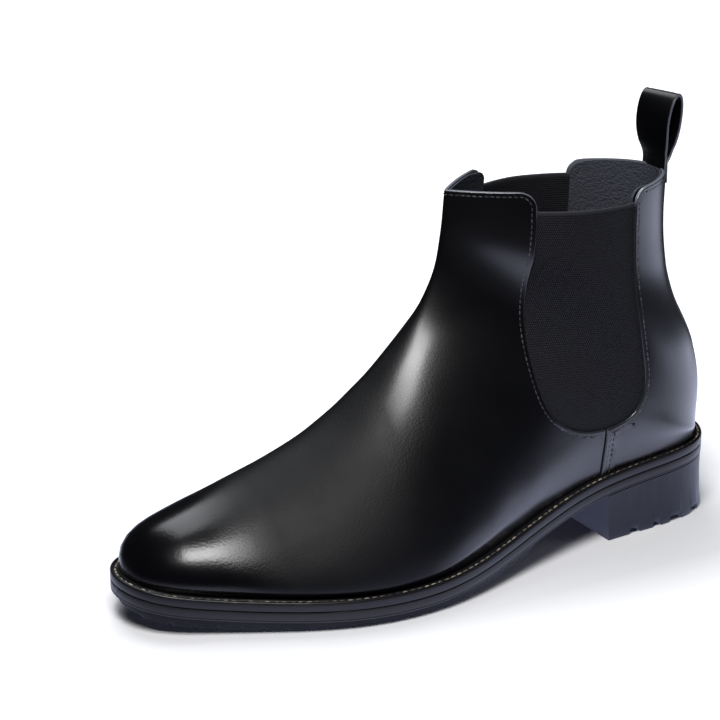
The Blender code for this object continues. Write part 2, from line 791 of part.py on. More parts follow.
def turned(name, rings, x, t, sides=12):
    """Solid of revolution about an upright line: (radius, z) from the bottom to the top."""
    points = []
    for radius, z in rings:
        for i in range(sides):
            a = 2 * math.pi * i / sides
            points.append((x + radius * math.cos(a), t + radius * math.sin(a), z))
    faces = [tuple(range(sides)), tuple(len(points) - 1 - i for i in range(sides))]
    for k in range(len(rings) - 1):
        for i in range(sides):
            j = (i + 1) % sides
            faces.append((k * sides + i, k * sides + j, (k + 1) * sides + j,
                          (k + 1) * sides + i))
    return add_mesh(name, points, faces)


def make_heel_nails(midsole, heel_block):
    """Nails driven from inside through the midsole into the heel, each in its own hole."""
    places = [(0, 20), (-17, 36), (17, 36), (-15, 60), (15, 60)]
    for number, (x, t) in enumerate(places, 1):
        top = float(sole_z(t)[0]) + MIDSOLE - 0.4
        head = top - NAIL_HEAD
        tip = top - NAIL_LENGTH
        rings = [(0.35, tip), (NAIL_RADIUS, tip + 2.5), (NAIL_RADIUS, head),
                 (NAIL_HEAD_RADIUS, head), (NAIL_HEAD_RADIUS, top)]
        turned(f"heel_nail_{number}", rings, x, t)
        bore = NAIL_RADIUS + GAP
        hole = [(bore, tip - 0.6), (bore, head - GAP), (NAIL_HEAD_RADIUS + GAP, head - GAP),
                (NAIL_HEAD_RADIUS + GAP, top + 3.0)]
        cutter = turned(f"nail_hole_{number}", hole, x, t, sides=10)
        cutter.hide_render = True
        cutter.display_type = "WIRE"
        for target in (midsole, heel_block):
            cut = target.modifiers.new(cutter.name, "BOOLEAN")
            cut.operation = "DIFFERENCE"
            cut.solver = "EXACT"
            cut.object = cutter


# ---- pieces of the upper --------------------------------------------------------------
def make_upper(surface):
    """Leather panels, gores, stiffeners and linings, each a layer under the surface."""
    under = -(LEATHER + GAP)
    lining = under - INNER_PLY - GAP
    shell("vamp", surface, in_vamp, 0, -LEATHER)
    shell("toe_puff", surface, in_toe_puff, under, under - INNER_PLY)
    shell("heel_counter", surface, in_heel_counter, under, under - INNER_PLY)
    shell("vamp_lining", surface, in_vamp_lining, lining, lining - LINING)
    shell("quarter_lining", surface, in_quarter_lining, lining, lining - LINING)
    shell("back_strip", surface, in_back_strip, GAP + 1.2, GAP)
    for side, word in ((1, "lateral"), (-1, "medial")):
        shell("quarter_" + word, surface, lambda p: in_quarter(p, side), 0, -LEATHER)
        shell("gore_" + word, surface, lambda p: in_gore(p, side), under, under - INNER_PLY)


def surface_path(surface, route, side):
    """Points and normals of the surface along a side-view route."""
    pairs = [surface.at(t, z, side) for t, z in route]
    return np.array([p for p, _ in pairs]), np.array([n for _, n in pairs])


def make_upper_seams(surface):
    """Rows of stitching: round each gore, and down each side seam."""
    top = GORE_TOP_REAR - 2
    for side, word in ((1, "lateral"), (-1, "medial")):
        run = np.linspace(0, window_run[-1], 200)
        route = window_curve(run)
        ahead = np.gradient(route, axis=0)
        out = np.stack([-ahead[:, 1], ahead[:, 0]], 1)
        out = out / np.linalg.norm(out, axis=1)[:, None]
        middle = route.mean(axis=0)
        if np.sum((route - middle) * out) < 0:
            out = -out
        route = (route + 2.5 * out)[route[:, 1] < top][::3]
        thread("gore_seam_" + word, *surface_path(surface, route, side))
        foot = float(feather_z(SIDE_SEAM)[0]) + 2
        z = np.linspace(foot, 52.0, 6)
        route = [(SIDE_SEAM - 3.0, height) for height in z]
        thread("side_seam_" + word, *surface_path(surface, route, side))


def make_pull_tab():
    """Folded leather loop, its origin on the hinge line across the back of the topline."""
    count = 30
    axis_t, axis_z = TAB_PIVOT
    turn = np.linspace(0, 2 * math.pi, count, endpoint=False)
    depth = (TAB_DEPTH / 2 - TAB_THICKNESS / 2) * np.sin(turn) * np.sin(turn / 2)
    rise = (TAB_HEIGHT - TAB_THICKNESS) * (1 - np.cos(turn)) / 2
    middle = np.stack([depth * 1.3, rise], 1)
    ahead = np.roll(middle, -1, axis=0) - np.roll(middle, 1, axis=0)
    out = np.stack([-ahead[:, 1], ahead[:, 0]], 1)
    out = out / np.linalg.norm(out, axis=1)[:, None]
    if np.sum((middle - middle.mean(axis=0)) * out) < 0:
        out = -out
    outer = middle + out * TAB_THICKNESS
    rows = []
    for edge, x in ((outer, 1), (middle, 1), (middle, -1), (outer, -1)):
        rows.append(np.column_stack([np.full(count, x * TAB_WIDTH / 2), edge]))
    faces = []
    for i in range(count):
        j = (i + 1) % count
        for k in range(4):
            m = (k + 1) % 4
            faces.append((k * count + i, m * count + i, m * count + j, k * count + j))
    tab = add_mesh("pull_tab", np.vstack(rows), faces)
    tab.location = (0, -axis_t * MM, axis_z * MM)


# ---- materials ------------------------------------------------------------------------
def material(name, colour, roughness, metallic=0.0):
    finish = bpy.data.materials.new(name)
    finish.use_nodes = True
    shader = finish.node_tree.nodes["Principled BSDF"]
    shader.inputs["Base Color"].default_value = (*colour, 1.0)
    shader.inputs["Roughness"].default_value = roughness
    shader.inputs["Metallic"].default_value = metallic
    finish.diffuse_color = (*colour, 1.0)
    return finish


def finishes():
    """Material of each piece, by the start of its name."""
    leather = material("black_leather", (0.012, 0.012, 0.014), 0.22)
    lining = material("lining_leather", (0.02, 0.022, 0.028), 0.6)
    elastic = material("gore_elastic", (0.03, 0.03, 0.032), 0.85)
    tab_leather = material("tab_leather", (0.014, 0.014, 0.016), 0.4)
    thread_black = material("thread_black", (0.03, 0.03, 0.032), 0.6)
    thread_gold = material("thread_gold", (0.35, 0.27, 0.14), 0.6)
    rubber = material("sole_rubber", (0.02, 0.02, 0.023), 0.55)
    edge = material("sole_edge", (0.03, 0.022, 0.018), 0.45)
    board = material("fibre_board", (0.42, 0.33, 0.22), 0.8)
    cork = material("cork", (0.45, 0.28, 0.14), 0.9)
    foam = material("pad_foam", (0.5, 0.48, 0.42), 0.9)
    steel = material("steel", (0.6, 0.6, 0.6), 0.3, 1.0)
    return {
        "vamp_lining": lining, "quarter_lining": lining, "sock_liner": lining,
        "vamp": leather, "quarter": leather, "back_strip": leather, "pull_tab": tab_leather,
        "gore_seam": thread_black, "side_seam": thread_black, "gore": elastic,
        "welt_stitch": thread_gold, "welt": edge, "midsole": edge, "rubber": rubber,
        "heel_nail": steel, "shank": steel, "heel_block": rubber, "heel_pad": foam,
        "heel": board, "toe_puff": board, "insole_board": board, "cork": cork,
    }


# ---- assembly -------------------------------------------------------------------------
def clear_scene():
    for item in list(bpy.data.objects):
        bpy.data.objects.remove(item, do_unlink=True)


def finish_pieces():
    """Give each piece its material, and stand the boot centred over its frame's origin."""
    table = finishes()
    pieces = [o for o in bpy.data.objects if o.type == "MESH"]
    corners = []
    for piece in pieces:
        key = next((k for k in table if piece.name.startswith(k)), None)
        if key:
            piece.data.materials.append(table[key])
        if not piece.hide_render:
            place = np.array(piece.location)
            corners += [np.array(v.co) + place for v in piece.data.vertices]
    corners = np.array(corners)
    low = corners.min(axis=0)
    high = corners.max(axis=0)
    frame = bpy.data.objects.new("boot_frame", None)
    bpy.context.scene.collection.objects.link(frame)
    frame.location = (-(low[0] + high[0]) / 2, -(low[1] + high[1]) / 2, -low[2])
    for piece in pieces:
        piece.parent = frame


def build():
    clear_scene()
    midsole = make_midsole()
    heel_block = make_heel_block()
    make_welt()
    make_welt_stitch()
    make_rubber_forepart()
    make_fillers()
    make_insole_pieces()
    make_heel_nails(midsole, heel_block)
    surface = Surface()
    make_upper(surface)
    make_upper_seams(surface)
    make_pull_tab()
    finish_pieces()


build()
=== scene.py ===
"""Left chelsea boot: finished upper, sole, stitching, materials, floor, light and camera.

Lengths are millimetres until a mesh is made. A point of the boot is (x, t, z): x towards
the wearer's left, t forward from the back of the heel, z up from the ground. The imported
frame stands the boot over its origin with the toe to -Y.
"""
import math

import bmesh
import bpy
import numpy as np
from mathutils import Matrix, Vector
from mathutils.bvhtree import BVHTree


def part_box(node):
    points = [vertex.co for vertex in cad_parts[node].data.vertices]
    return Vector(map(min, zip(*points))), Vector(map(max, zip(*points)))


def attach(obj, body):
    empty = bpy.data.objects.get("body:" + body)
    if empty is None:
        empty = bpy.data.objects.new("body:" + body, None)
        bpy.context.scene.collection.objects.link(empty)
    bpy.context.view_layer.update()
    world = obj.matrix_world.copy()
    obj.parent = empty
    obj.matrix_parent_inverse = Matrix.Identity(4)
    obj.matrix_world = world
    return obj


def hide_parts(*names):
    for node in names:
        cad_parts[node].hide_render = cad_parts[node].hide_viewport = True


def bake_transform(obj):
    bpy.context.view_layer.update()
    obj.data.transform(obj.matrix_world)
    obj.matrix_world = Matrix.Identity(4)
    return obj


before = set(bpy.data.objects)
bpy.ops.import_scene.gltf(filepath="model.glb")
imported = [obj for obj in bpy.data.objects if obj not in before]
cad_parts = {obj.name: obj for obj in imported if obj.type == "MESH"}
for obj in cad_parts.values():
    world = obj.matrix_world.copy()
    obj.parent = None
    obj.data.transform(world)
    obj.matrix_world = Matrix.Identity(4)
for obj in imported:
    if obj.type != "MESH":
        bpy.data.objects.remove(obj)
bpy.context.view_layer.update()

MM = 0.001
SHANK_REAR = 48.0            # the shank starts this far forward from the heel's back
TAB_PIVOT = (26.5, 168.6)    # (t, z) of the pull tab's hinge

shank_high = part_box("shank")[1]
tab_low, tab_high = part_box("pull_tab")
ORIGIN = np.array([(tab_low[0] + tab_high[0]) / 2, shank_high[1] + SHANK_REAR * MM, 0.0])

# ---- sizes of the upper ---------------------------------------------------------------
LEATHER = 1.5
LINING = 1.0
EDGE_RADIUS = 0.6            # rounding of a cut leather edge
SEAM_INSET = 2.1             # stitching runs this far from the edge
SEAM_DENT = 0.16             # how deep a row of stitches pulls the leather in
MIDSOLE = 5.0
WELT = 4.4
GAP = 0.3
FEATHER = MIDSOLE + WELT + 2 * GAP
FRONT_TOP = 172.0
BACK_TOP = 166.0
CORNER = 7.0                 # radius where the topline turns down to the gore
GORE_TOP_FRONT = 163.0
GORE_TOP_REAR = 160.0
GORE_DEPTH = 1.25            # the elastic lies this far below the leather's face
GORE_TUCK = 4.0              # and reaches this far in behind the leather
GORE_THICKNESS = 1.5
SIDE_SEAM = 75.0
FAIR_FRONT = 78.0            # the heel corner is drawn fair behind and below these
FAIR_TOP = 108.0
FAIR_HOLD = 0.02             # how firmly its points keep their place
BACK_LINE_HOLD = 0.06
STRIP_HALF = 8.0
STRIP_FOOT = 76.0

# ---- sizes of the bottom --------------------------------------------------------------
WELT_OVERHANG = 4.6
RUBBER = 5.0
RUBBER_INSET = 3.2
RUBBER_START = 118.0
HEEL_BREAST = 72.0
HEEL_FLARE = 3.0
HEEL_NOTCHES = ((53.0, 59.5), (40.5, 45.5), (27.5, 35.5), (15.0, 21.0))
HEEL_NOTCH_DEPTH = 2.6
LUG_HEIGHT = 0.9
LUG_PITCH = 9.0
LUG_GAP = 1.5                # between rows of lugs
BLOCK_GAP = 2.2              # between the blocks of one row
SOCK_INSET = 7.2
SOCK_HEIGHT = 12.9
PAD_RISE = 2.3               # the heel pad lifts the sock this much

# ---- sizes of the pull tab ------------------------------------------------------------
TAB_HEIGHT = 31.6
TAB_THICKNESS = 1.5
TAB_LEG_THICKNESS = 1.0      # skived where the legs are sewn in
TAB_DEPTH = 6.1
TAB_LEGS = 9.0
TAB_HALF_WIDTH = 9.4

# Outline of the upper where it meets the welt, (x, t), toe tip to heel on each side.
TOE_TIP = (-5.0, 300.0)
HEEL_BACK = (0.0, 5.0)
LATERAL_OUTLINE = [(12, 296), (26, 276), (40, 247), (51, 220), (55.5, 195), (54, 168),
                   (47, 140), (38.5, 110), (32, 76), (30, 42), (21, 14)]
MEDIAL_OUTLINE = [(-20.5, 14), (-29, 42), (-28.5, 76), (-26, 110), (-29.5, 145), (-35, 180),
                  (-38, 210), (-37, 242), (-31, 271), (-21, 291)]
# Underside of the midsole, z against t: heel seat, waist, ball, toe spring.
SOLE_LINE = [(-10, 27.5), (0, 27.4), (40, 26.2), (76, 22.8), (102, 18.2), (122, 13.6),
             (142, 9.0), (164, 5.6), (190, 4.3), (220, 4.5), (250, 5.8), (280, 8.5),
             (300, 11.6), (312, 14.0)]
# Side profile of the upper, (t, z): ridge from toe to shin, and the back of the heel.
RIDGE = [(300, 21.6), (299, 29), (293, 37), (277, 44.5), (254, 52), (230, 60.5), (206, 72),
         (186, 87), (169, 103), (155, 119.5), (147, 135), (143.5, 152), (141.5, 172),
         (141, 182)]
BACK = [(5, 37.4), (4, 46), (3.6, 58), (5.5, 72), (11.3, 88), (18, 101), (22.8, 114),
        (25.6, 130), (26.5, 148), (26, 164), (25.5, 182)]
RIDGE_SWING = [(120, 0), (170, 0.5), (240, -1.5), (300, -5)]
# Visible window of the gore, (t, z), from its front top corner round to its rear one.
GORE_WINDOW = [(107.5, 190), (108.5, 163), (109.5, 140), (111, 118), (111.5, 98), (110, 82),
               (105, 70), (96.5, 62.5), (86, 58), (75, 57), (65, 59), (58, 64), (54.5, 73),
               (55.5, 90), (57.5, 110), (58, 135), (57.5, 160), (57, 190)]
FAN_MIDDLE = (0.60, 0.60)
HEEL_CORNER = 0.785
# Section shape against station: 0 toe tip, 1 heel corner, 2 top of the shaft.
BULGE = [(0, 0), (0.06, 1.4), (0.15, 3), (0.3, 3.7), (0.5, 3.3), (0.65, 5.2), (0.8, 5.5),
         (2, 5.5)]
ANKLE = [(0.6, 37.5), (0.8, 35.5), (1, 35.5), (1.25, 34.5), (1.5, 33), (2, 31.5)]
WIDEST = [(0, 0.22), (0.25, 0.10), (0.5, 0.12), (0.75, 0.36), (1, 0.34), (1.5, 0.46),
          (2, 0.45)]
SHOULDER = [(0, 0.60), (0.25, 0.24), (0.5, 0.36), (0.75, 0.50), (1, 0.35), (1.5, 0.38),
            (2, 0.36)]
CROWN = [(0, 0.62), (0.25, 0.48), (0.5, 0.50), (0.75, 0.37), (1, 0.27), (1.5, 0.34),
         (2, 0.30)]
CREASE = [(0, 0), (0.25, 0), (0.5, 0.05), (0.75, 0.19), (1, 0.49), (1.5, 0.85), (2, 1)]
WALL_LEAN = [(0, 0.25), (0.25, 0.20), (0.5, 0.18), (0.75, 0.20), (1, 0.15), (1.5, 0),
             (2, 0)]


# ---- curves ---------------------------------------------------------------------------
def cubic(knots, values, closed=False):
    """Smooth curve through values at knots, as a function; closed runs round a loop."""
    k = np.asarray(knots, float)
    v = np.asarray(values, float)
    h = np.diff(k)
    count = len(k) - 1 if closed else len(k)
    system = np.eye(count)
    right = np.zeros((count,) + v.shape[1:])
    for i in range(count) if closed else range(1, count - 1):
        system[i, i] = 2 * (h[i - 1] + h[i])
        system[i, (i - 1) % count] = h[i - 1]
        system[i, (i + 1) % count] = h[i]
        rise = (v[i + 1] - v[i]) / h[i]
        fall = (v[i] - v[(i - 1) % count]) / h[i - 1]
        right[i] = 6 * (rise - fall)
    bend = np.linalg.solve(system, right)
    if closed:
        bend = np.concatenate([bend, bend[:1]])

    def curve(u):
        u = np.atleast_1d(np.asarray(u, float))
        if closed:
            u = k[0] + np.mod(u - k[0], k[-1] - k[0])
        i = np.clip(np.searchsorted(k, u, side="right") - 1, 0, len(k) - 2)
        shape = (-1,) + (1,) * (v.ndim - 1)
        step = h[i].reshape(shape)
        a = (k[i + 1] - u).reshape(shape) / step
        b = 1 - a
        cube = ((a ** 3 - a) * bend[i] + (b ** 3 - b) * bend[i + 1]) * step ** 2 / 6
        return a * v[i] + b * v[i + 1] + cube

    return curve


def profile(points):
    """Curve through (knot, value) pairs."""
    return cubic(*zip(*points))


def path_curve(points, closed=False):
    """Curve through plan or side points, run by distance, and the distance of each point."""
    p = np.asarray(points, float)
    if closed:
        p = np.vstack([p, p[:1]])
    run = np.r_[0, np.cumsum(np.linalg.norm(np.diff(p, axis=0), axis=1))]
    return cubic(run, p, closed), run


def smooth_step(x):
    x = np.clip(x, 0, 1)
    return x * x * (3 - 2 * x)


def unit(vectors):
    size = np.linalg.norm(vectors, axis=-1, keepdims=True)
    return vectors / np.maximum(size, 1e-9)


outline, outline_run = path_curve(
    [TOE_TIP] + LATERAL_OUTLINE + [HEEL_BACK] + MEDIAL_OUTLINE, closed=True)
HEEL_RUN = outline_run[len(LATERAL_OUTLINE) + 1]
LOOP_RUN = outline_run[-1]
ridge_curve, ridge_run = path_curve(RIDGE)
back_curve, back_run = path_curve(BACK)
sole_z = profile(SOLE_LINE)
ridge_x = profile(RIDGE_SWING)
bulge = profile(BULGE)
ankle = profile(ANKLE)
widest = profile(WIDEST)
shoulder = profile(SHOULDER)
crown = profile(CROWN)
crease = profile(CREASE)
wall_lean = profile(WALL_LEAN)


def ridge(share):
    return ridge_curve(np.asarray(share) * ridge_run[-1])


def back(share):
    return back_curve(np.asarray(share) * back_run[-1])


def feather_z(t):
    """Height where the upper meets the welt."""
    return sole_z(t) + FEATHER


def side_outline(u, side):
    """Outline of one side, u from 0 at the toe tip to 1 at the heel back."""
    u = np.asarray(u, float)
    if side > 0:
        return outline(u * HEEL_RUN)
    return outline(LOOP_RUN - u * (LOOP_RUN - HEEL_RUN))


def ridge_share(t):
    """How far along the ridge the point over t is."""
    shares = np.linspace(0, 1, 1001)
    return np.interp(-np.asarray(t), -ridge(shares)[:, 0], shares)


# ---- the surface of the upper ---------------------------------------------------------
def section_feet(s, side):
    """Lower end of each section: on the outline up to the heel corner, then up the back."""
    plan = side_outline(np.clip(s, 0, 1), side)
    feet = np.stack([plan[:, 0], plan[:, 1], feather_z(plan[:, 1])], 1)
    up = back(np.clip(s - 1, 0, 1))
    raised = s > 1
    feet[raised] = np.stack([np.zeros(raised.sum()), up[raised, 0], up[raised, 1]], 1)
    return feet


def head_share(s):
    """Share of the ridge against station: upright sections ahead, a fan behind."""
    upright = np.array([0.10, 0.18, 0.26])
    middle = (side_outline(upright, 1)[:, 1] + side_outline(upright, -1)[:, 1]) / 2
    knots = np.r_[0, upright, FAN_MIDDLE[0], 1, 1.5, 2]
    shares = np.r_[0, ridge_share(middle), FAN_MIDDLE[1], HEEL_CORNER,
                   (1 + HEEL_CORNER) / 2, 1]
    return cubic(knots, shares)(s)


def section_heads(s):
    """Upper end of each section, on the ridge."""
    r = ridge(head_share(s))
    return np.stack([ridge_x(r[:, 0]), r[:, 0], r[:, 1]], 1)


def bezier(a, b, c, d, u):
    return (1 - u) ** 3 * a + 3 * (1 - u) ** 2 * u * b + 3 * (1 - u) * u * u * c + u ** 3 * d


def outline_heading(s, side):
    """How far the outline heads outwards and forwards at each section."""
    step = 1e-4
    here = side_outline(np.clip(s, 0, 1), side)
    forward = side_outline(np.clip(s, 0, 1) - step, side) - here
    run = forward / np.linalg.norm(forward, axis=1)[:, None]
    out_run = np.where(s > 1, 1.0, run[:, 0] * side)
    fore_run = np.where(s > 1, 0.0, np.abs(run[:, 1]))
    return out_run, fore_run


def last_surface(s, v, side):
    """Outer face of the upper: sections s, and v from the feather edge or back to the ridge."""
    s = np.asarray(s, float)
    feet = section_feet(s, side)
    heads = section_heads(s)
    out_run, fore_run = outline_heading(s, side)
    rise = (heads - feet)[:, 1:]
    length = np.maximum(np.linalg.norm(rise, axis=1), 1e-6)
    level = rise[:, 0] / length
    climb = rise[:, 1] / length
    foot_width = (feet[:, 0] - heads[:, 0]) * side
    out = out_run * np.clip(level, 0, 1) + wall_lean(s) * climb * fore_run
    along = fore_run + 1e-6
    size = np.hypot(out, along)
    out = out / size
    along = along / size
    blend = smooth_step((s - 0.68) / 0.22)
    width = (1 - blend) * (foot_width + bulge(s)) + blend * ankle(s)
    mid = widest(s) * length
    zero = 0 * length
    handle = 0.55 * (np.abs(width - foot_width) * np.abs(out) + mid * along)
    foot = np.stack([foot_width, zero], 1)
    foot_handle = foot + handle[:, None] * np.stack([out, along], 1)
    belly = np.stack([width, mid], 1)
    belly_low = belly - np.stack([zero, 0.5 * mid], 1)
    belly_high = belly + np.stack([zero, shoulder(s) * (length - mid)], 1)
    head = np.stack([zero, length], 1)
    reach = crown(s) * width
    head_handle = head + np.stack([reach, -0.9 * crease(s) * reach], 1)
    lower_share = 0.35
    rows = []
    for share in v:
        if share <= lower_share:
            q = bezier(foot, foot_handle, belly_low, belly, share / lower_share)
        else:
            u = (share - lower_share) / (1 - lower_share)
            q = bezier(belly, belly_high, head_handle, head, u)
        fraction = q[:, 1] / length
        point = feet + fraction[:, None] * (heads - feet)
        point[:, 0] = heads[:, 0] + side * q[:, 0]
        rows.append(point)
    return np.stack(rows, 1)


def fair_surface(s, v, side):
    """The same surface with its heel corner evened out along the run of sections."""
    plain = last_surface(s, v, side)
    shifts = np.linspace(-0.13, 0.13, 15)
    weights = np.exp(-(shifts / 0.065) ** 2)
    weights = weights / weights.sum()
    even = sum(w * last_surface(s + d, v, side) for d, w in zip(shifts, weights))
    near = np.exp(-((s - 1.0) / 0.25) ** 2)
    rows = smooth_step(np.asarray(v) / 0.3) * (1 - smooth_step((np.asarray(v) - 0.85) / 0.15))
    amount = (near[:, None] * rows)[:, :, None]
    return plain * (1 - amount) + even * amount


class Mesh:
    """Triangles in the boot's millimetres, with a smooth normal at each point."""

    def __init__(self, points, normals, triangles):
        self.points = points
        self.normals = normals
        self.triangles = triangles


def welded_grid(stations, rows):
    """Both sides' sections as one welded quad grid: points, quads, fixed rims."""
    index = {}
    points = []
    quads = []
    rim = set()
    for side in (1, -1):
        grid = fair_surface(stations, rows, side)
        ids = np.zeros(grid.shape[:2], int)
        for i, row in enumerate(grid):
            for j, point in enumerate(row):
                key = tuple(np.round(point, 2) + 0.0)
                if key not in index:
                    index[key] = len(points)
                    points.append(point)
                ids[i, j] = index[key]
                if (j == 0 and stations[i] <= 1) or i == len(stations) - 1 or i < 2:
                    rim.add(ids[i, j])
        for i in range(len(stations) - 1):
            for j in range(len(rows) - 1):
                quad = (ids[i, j], ids[i + 1, j], ids[i + 1, j + 1], ids[i, j + 1])
                quads.append(quad if side > 0 else quad[::-1])
    return np.array(points), np.array(quads), np.array(sorted(rim))


def quad_edges(quads):
    """Each edge of the quads once, as a pair of point numbers."""
    edges = np.vstack([quads[:, [i, (i + 1) % 4]] for i in range(4)])
    edges = np.unique(np.sort(edges, axis=1), axis=0)
    return edges[edges[:, 0] != edges[:, 1]]


def relaxed(points, quads, fixed, strength, rounds):
    """Points evened out along the quads' edges; shrinking is undone every other step."""
    edges = quad_edges(quads)
    count = np.bincount(edges.ravel(), minlength=len(points))[:, None]
    weight = np.asarray(strength, float)[:, None].copy()
    weight[fixed] = 0
    p = points.copy()
    for _ in range(rounds):
        for pull in (0.5, -0.515):
            total = np.zeros_like(p)
            np.add.at(total, edges[:, 0], p[edges[:, 1]])
            np.add.at(total, edges[:, 1], p[edges[:, 0]])
            p = p + pull * weight * (total / np.maximum(count, 1) - p)
    return p


def with_neighbours(mask, a, b):
    """The marked points and every point that an edge joins to one of them."""
    wider = mask.copy()
    wider[a[mask[b]]] = True
    wider[b[mask[a]]] = True
    return wider


def bending(place, a, b):
    """Matrix that gives each point's offset from the weighted middle of its neighbours."""
    weight = 1 / np.maximum(np.linalg.norm(place[a] - place[b], axis=1), 0.2)
    matrix = np.zeros((len(place), len(place)))
    np.add.at(matrix, (a, b), -weight)
    np.add.at(matrix, (b, a), -weight)
    total = -matrix.sum(1)
    return matrix / total[:, None] + np.eye(len(place))


def faired(points, quads, fixed):
    """Points with the heel's corner drawn fair, like a bent sheet, within its borders."""
    a, b = quad_edges(quads).T
    held = np.zeros(len(points), bool)
    held[fixed] = True
    zone = (points[:, 1] < FAIR_FRONT) & (points[:, 2] < FAIR_TOP) & ~held
    touching = with_neighbours(zone, a, b)
    near = with_neighbours(touching, a, b)
    used = np.flatnonzero(near)
    local = np.full(len(points), -1)
    local[used] = np.arange(len(used))
    inside = near[a] & near[b]
    place = points[used]
    bend = bending(place, local[a[inside]], local[b[inside]])
    bend = bend[touching[used] & ~held[used]]
    free = zone[used]
    back_line = np.abs(place[free][:, 0]) < 0.5
    keep = np.where(back_line, BACK_LINE_HOLD, FAIR_HOLD)
    left = bend[:, free]
    known = bend[:, ~free] @ place[~free]
    square = left.T @ left + np.diag(keep)
    answer = np.linalg.solve(square, keep[:, None] * place[free] - left.T @ known)
    result = points.copy()
    result[used[free]] = answer
    return result


def smooth_normals(points, triangles, level_edge):
    """Area-weighted normals evened out a little; level_edge points stay upright walls."""
    a, b, c = (points[triangles[:, i]] for i in range(3))
    face = np.cross(b - a, c - a)
    normals = np.zeros_like(points)
    for i in range(3):
        np.add.at(normals, triangles[:, i], face)
    for _ in range(3):
        normals = unit(normals)
        normals[level_edge, 2] *= 0.3
        spread = normals * 3
        for i in range(3):
            for j in (1, 2):
                np.add.at(spread, triangles[:, i], normals[triangles[:, (i + j) % 3]] / 3)
        normals = spread
    return unit(normals)


def ripple(p):
    """Slight unevenness of lasted leather."""
    x, t, z = p.T
    wave = np.sin(0.23 * t + 0.11 * z + 0.17 * x + 0.6)
    wave += 0.8 * np.sin(0.31 * z - 0.14 * t + 0.09 * x + 2.1)
    wave += 0.6 * np.sin(0.12 * t + 0.37 * z - 0.21 * x + 4.2)
    return 0.05 * wave


def make_base(section_count, row_count):
    """The upper's outer face as one fair triangle mesh."""
    toe = [0.0, 0.012, 0.026, 0.042, 0.06, 0.08]
    foot = np.linspace(0.1, 1.0, section_count)
    shaft = np.linspace(1, 2, section_count // 2)[1:]
    stations = np.r_[toe, foot, shaft]
    rows = np.linspace(0, 1, row_count)
    points, quads, fixed = welded_grid(stations, rows)
    heel = smooth_step((105 - points[:, 1]) / 40) * smooth_step((150 - points[:, 2]) / 30)
    points = relaxed(points, quads, fixed, 0.25 + 0.75 * heel, 60)
    points = faired(points, quads, fixed)
    triangles = np.vstack([quads[:, [0, 1, 2]], quads[:, [0, 2, 3]]])
    a, b, c = triangles.T
    triangles = triangles[(a != b) & (b != c) & (a != c)]
    level_edge = np.abs(points[:, 2] - feather_z(points[:, 1])) < 0.01
    normals = smooth_normals(points, triangles, level_edge)
    middle = np.array([0, 90, 90])
    if np.mean(np.sum((points - middle) * normals, 1)) < 0:
        normals = -normals
        triangles = triangles[:, ::-1]
    points = points + normals * ripple(points)[:, None]
    normals = smooth_normals(points, triangles, level_edge)
    return Mesh(points, normals, triangles)


# ---- outlines of the panels in the side view ------------------------------------------
def polygon_distance(p, polygon):
    """Distance of each point's (t, z) to a closed outline, positive inside it."""
    t = p[:, 1]
    z = p[:, 2]
    inside = np.zeros(len(p), bool)
    nearest = np.full(len(p), 1e9)
    for (t1, z1), (t2, z2) in zip(polygon, np.roll(polygon, -1, axis=0)):
        dt, dz = t2 - t1, z2 - z1
        share = ((t - t1) * dt + (z - z1) * dz) / max(dt * dt + dz * dz, 1e-12)
        share = np.clip(share, 0, 1)
        nearest = np.minimum(nearest, np.hypot(t - t1 - share * dt, z - z1 - share * dz))
        if z1 != z2:
            spans = (z1 > z) != (z2 > z)
            inside ^= spans & (t < t1 + (z - z1) * dt / dz)
    return np.where(inside, nearest, -nearest)


window_curve, window_run = path_curve(GORE_WINDOW)
WINDOW = window_curve(np.linspace(0, window_run[-1], 90))


def corner_arc(t, z, direction, count=8):
    """Quarter circle from a level topline down to the gore's edge at t."""
    turn = np.linspace(0, math.pi / 2, count)
    middle_t = t + direction * CORNER
    return np.column_stack([middle_t - direction * CORNER * np.sin(turn),
                            z - CORNER + CORNER * np.cos(turn)])


def panel_outline(front):
    """Side-view outline of the vamp (front) or the quarter, gore edge included."""
    low = -30.0
    if front:
        edge = WINDOW[(WINDOW[:, 0] > SIDE_SEAM) & (WINDOW[:, 1] < FRONT_TOP - CORNER)]
        arc = corner_arc(108.4, FRONT_TOP, 1)
        start = [(340, low), (340, FRONT_TOP), (200, FRONT_TOP)]
        return np.vstack([start, arc, edge, [(SIDE_SEAM + GAP / 2, 57)],
                          [(SIDE_SEAM + GAP / 2, low)]])
    edge = WINDOW[(WINDOW[:, 0] < SIDE_SEAM) & (WINDOW[:, 1] < BACK_TOP - CORNER)][::-1]
    arc = corner_arc(57.6, BACK_TOP, -1)
    start = [(-40, low), (-40, BACK_TOP), (10, BACK_TOP)]
    return np.vstack([start, arc, edge, [(SIDE_SEAM - GAP / 2, 57)],
                      [(SIDE_SEAM - GAP / 2, low)]])


VAMP_OUTLINE = panel_outline(True)
QUARTER_OUTLINE = panel_outline(False)


def in_vamp(p):
    return polygon_distance(p, VAMP_OUTLINE)


def in_quarter(p, side):
    return np.minimum(polygon_distance(p, QUARTER_OUTLINE), p[:, 0] * side - GAP / 2)


def in_strip(p):
    half = STRIP_HALF - np.abs(p[:, 0])
    ends = np.minimum(BACK_TOP + 0.4 - p[:, 2], p[:, 2] - STRIP_FOOT)
    return np.minimum(np.minimum(half, ends), 60 - p[:, 1])


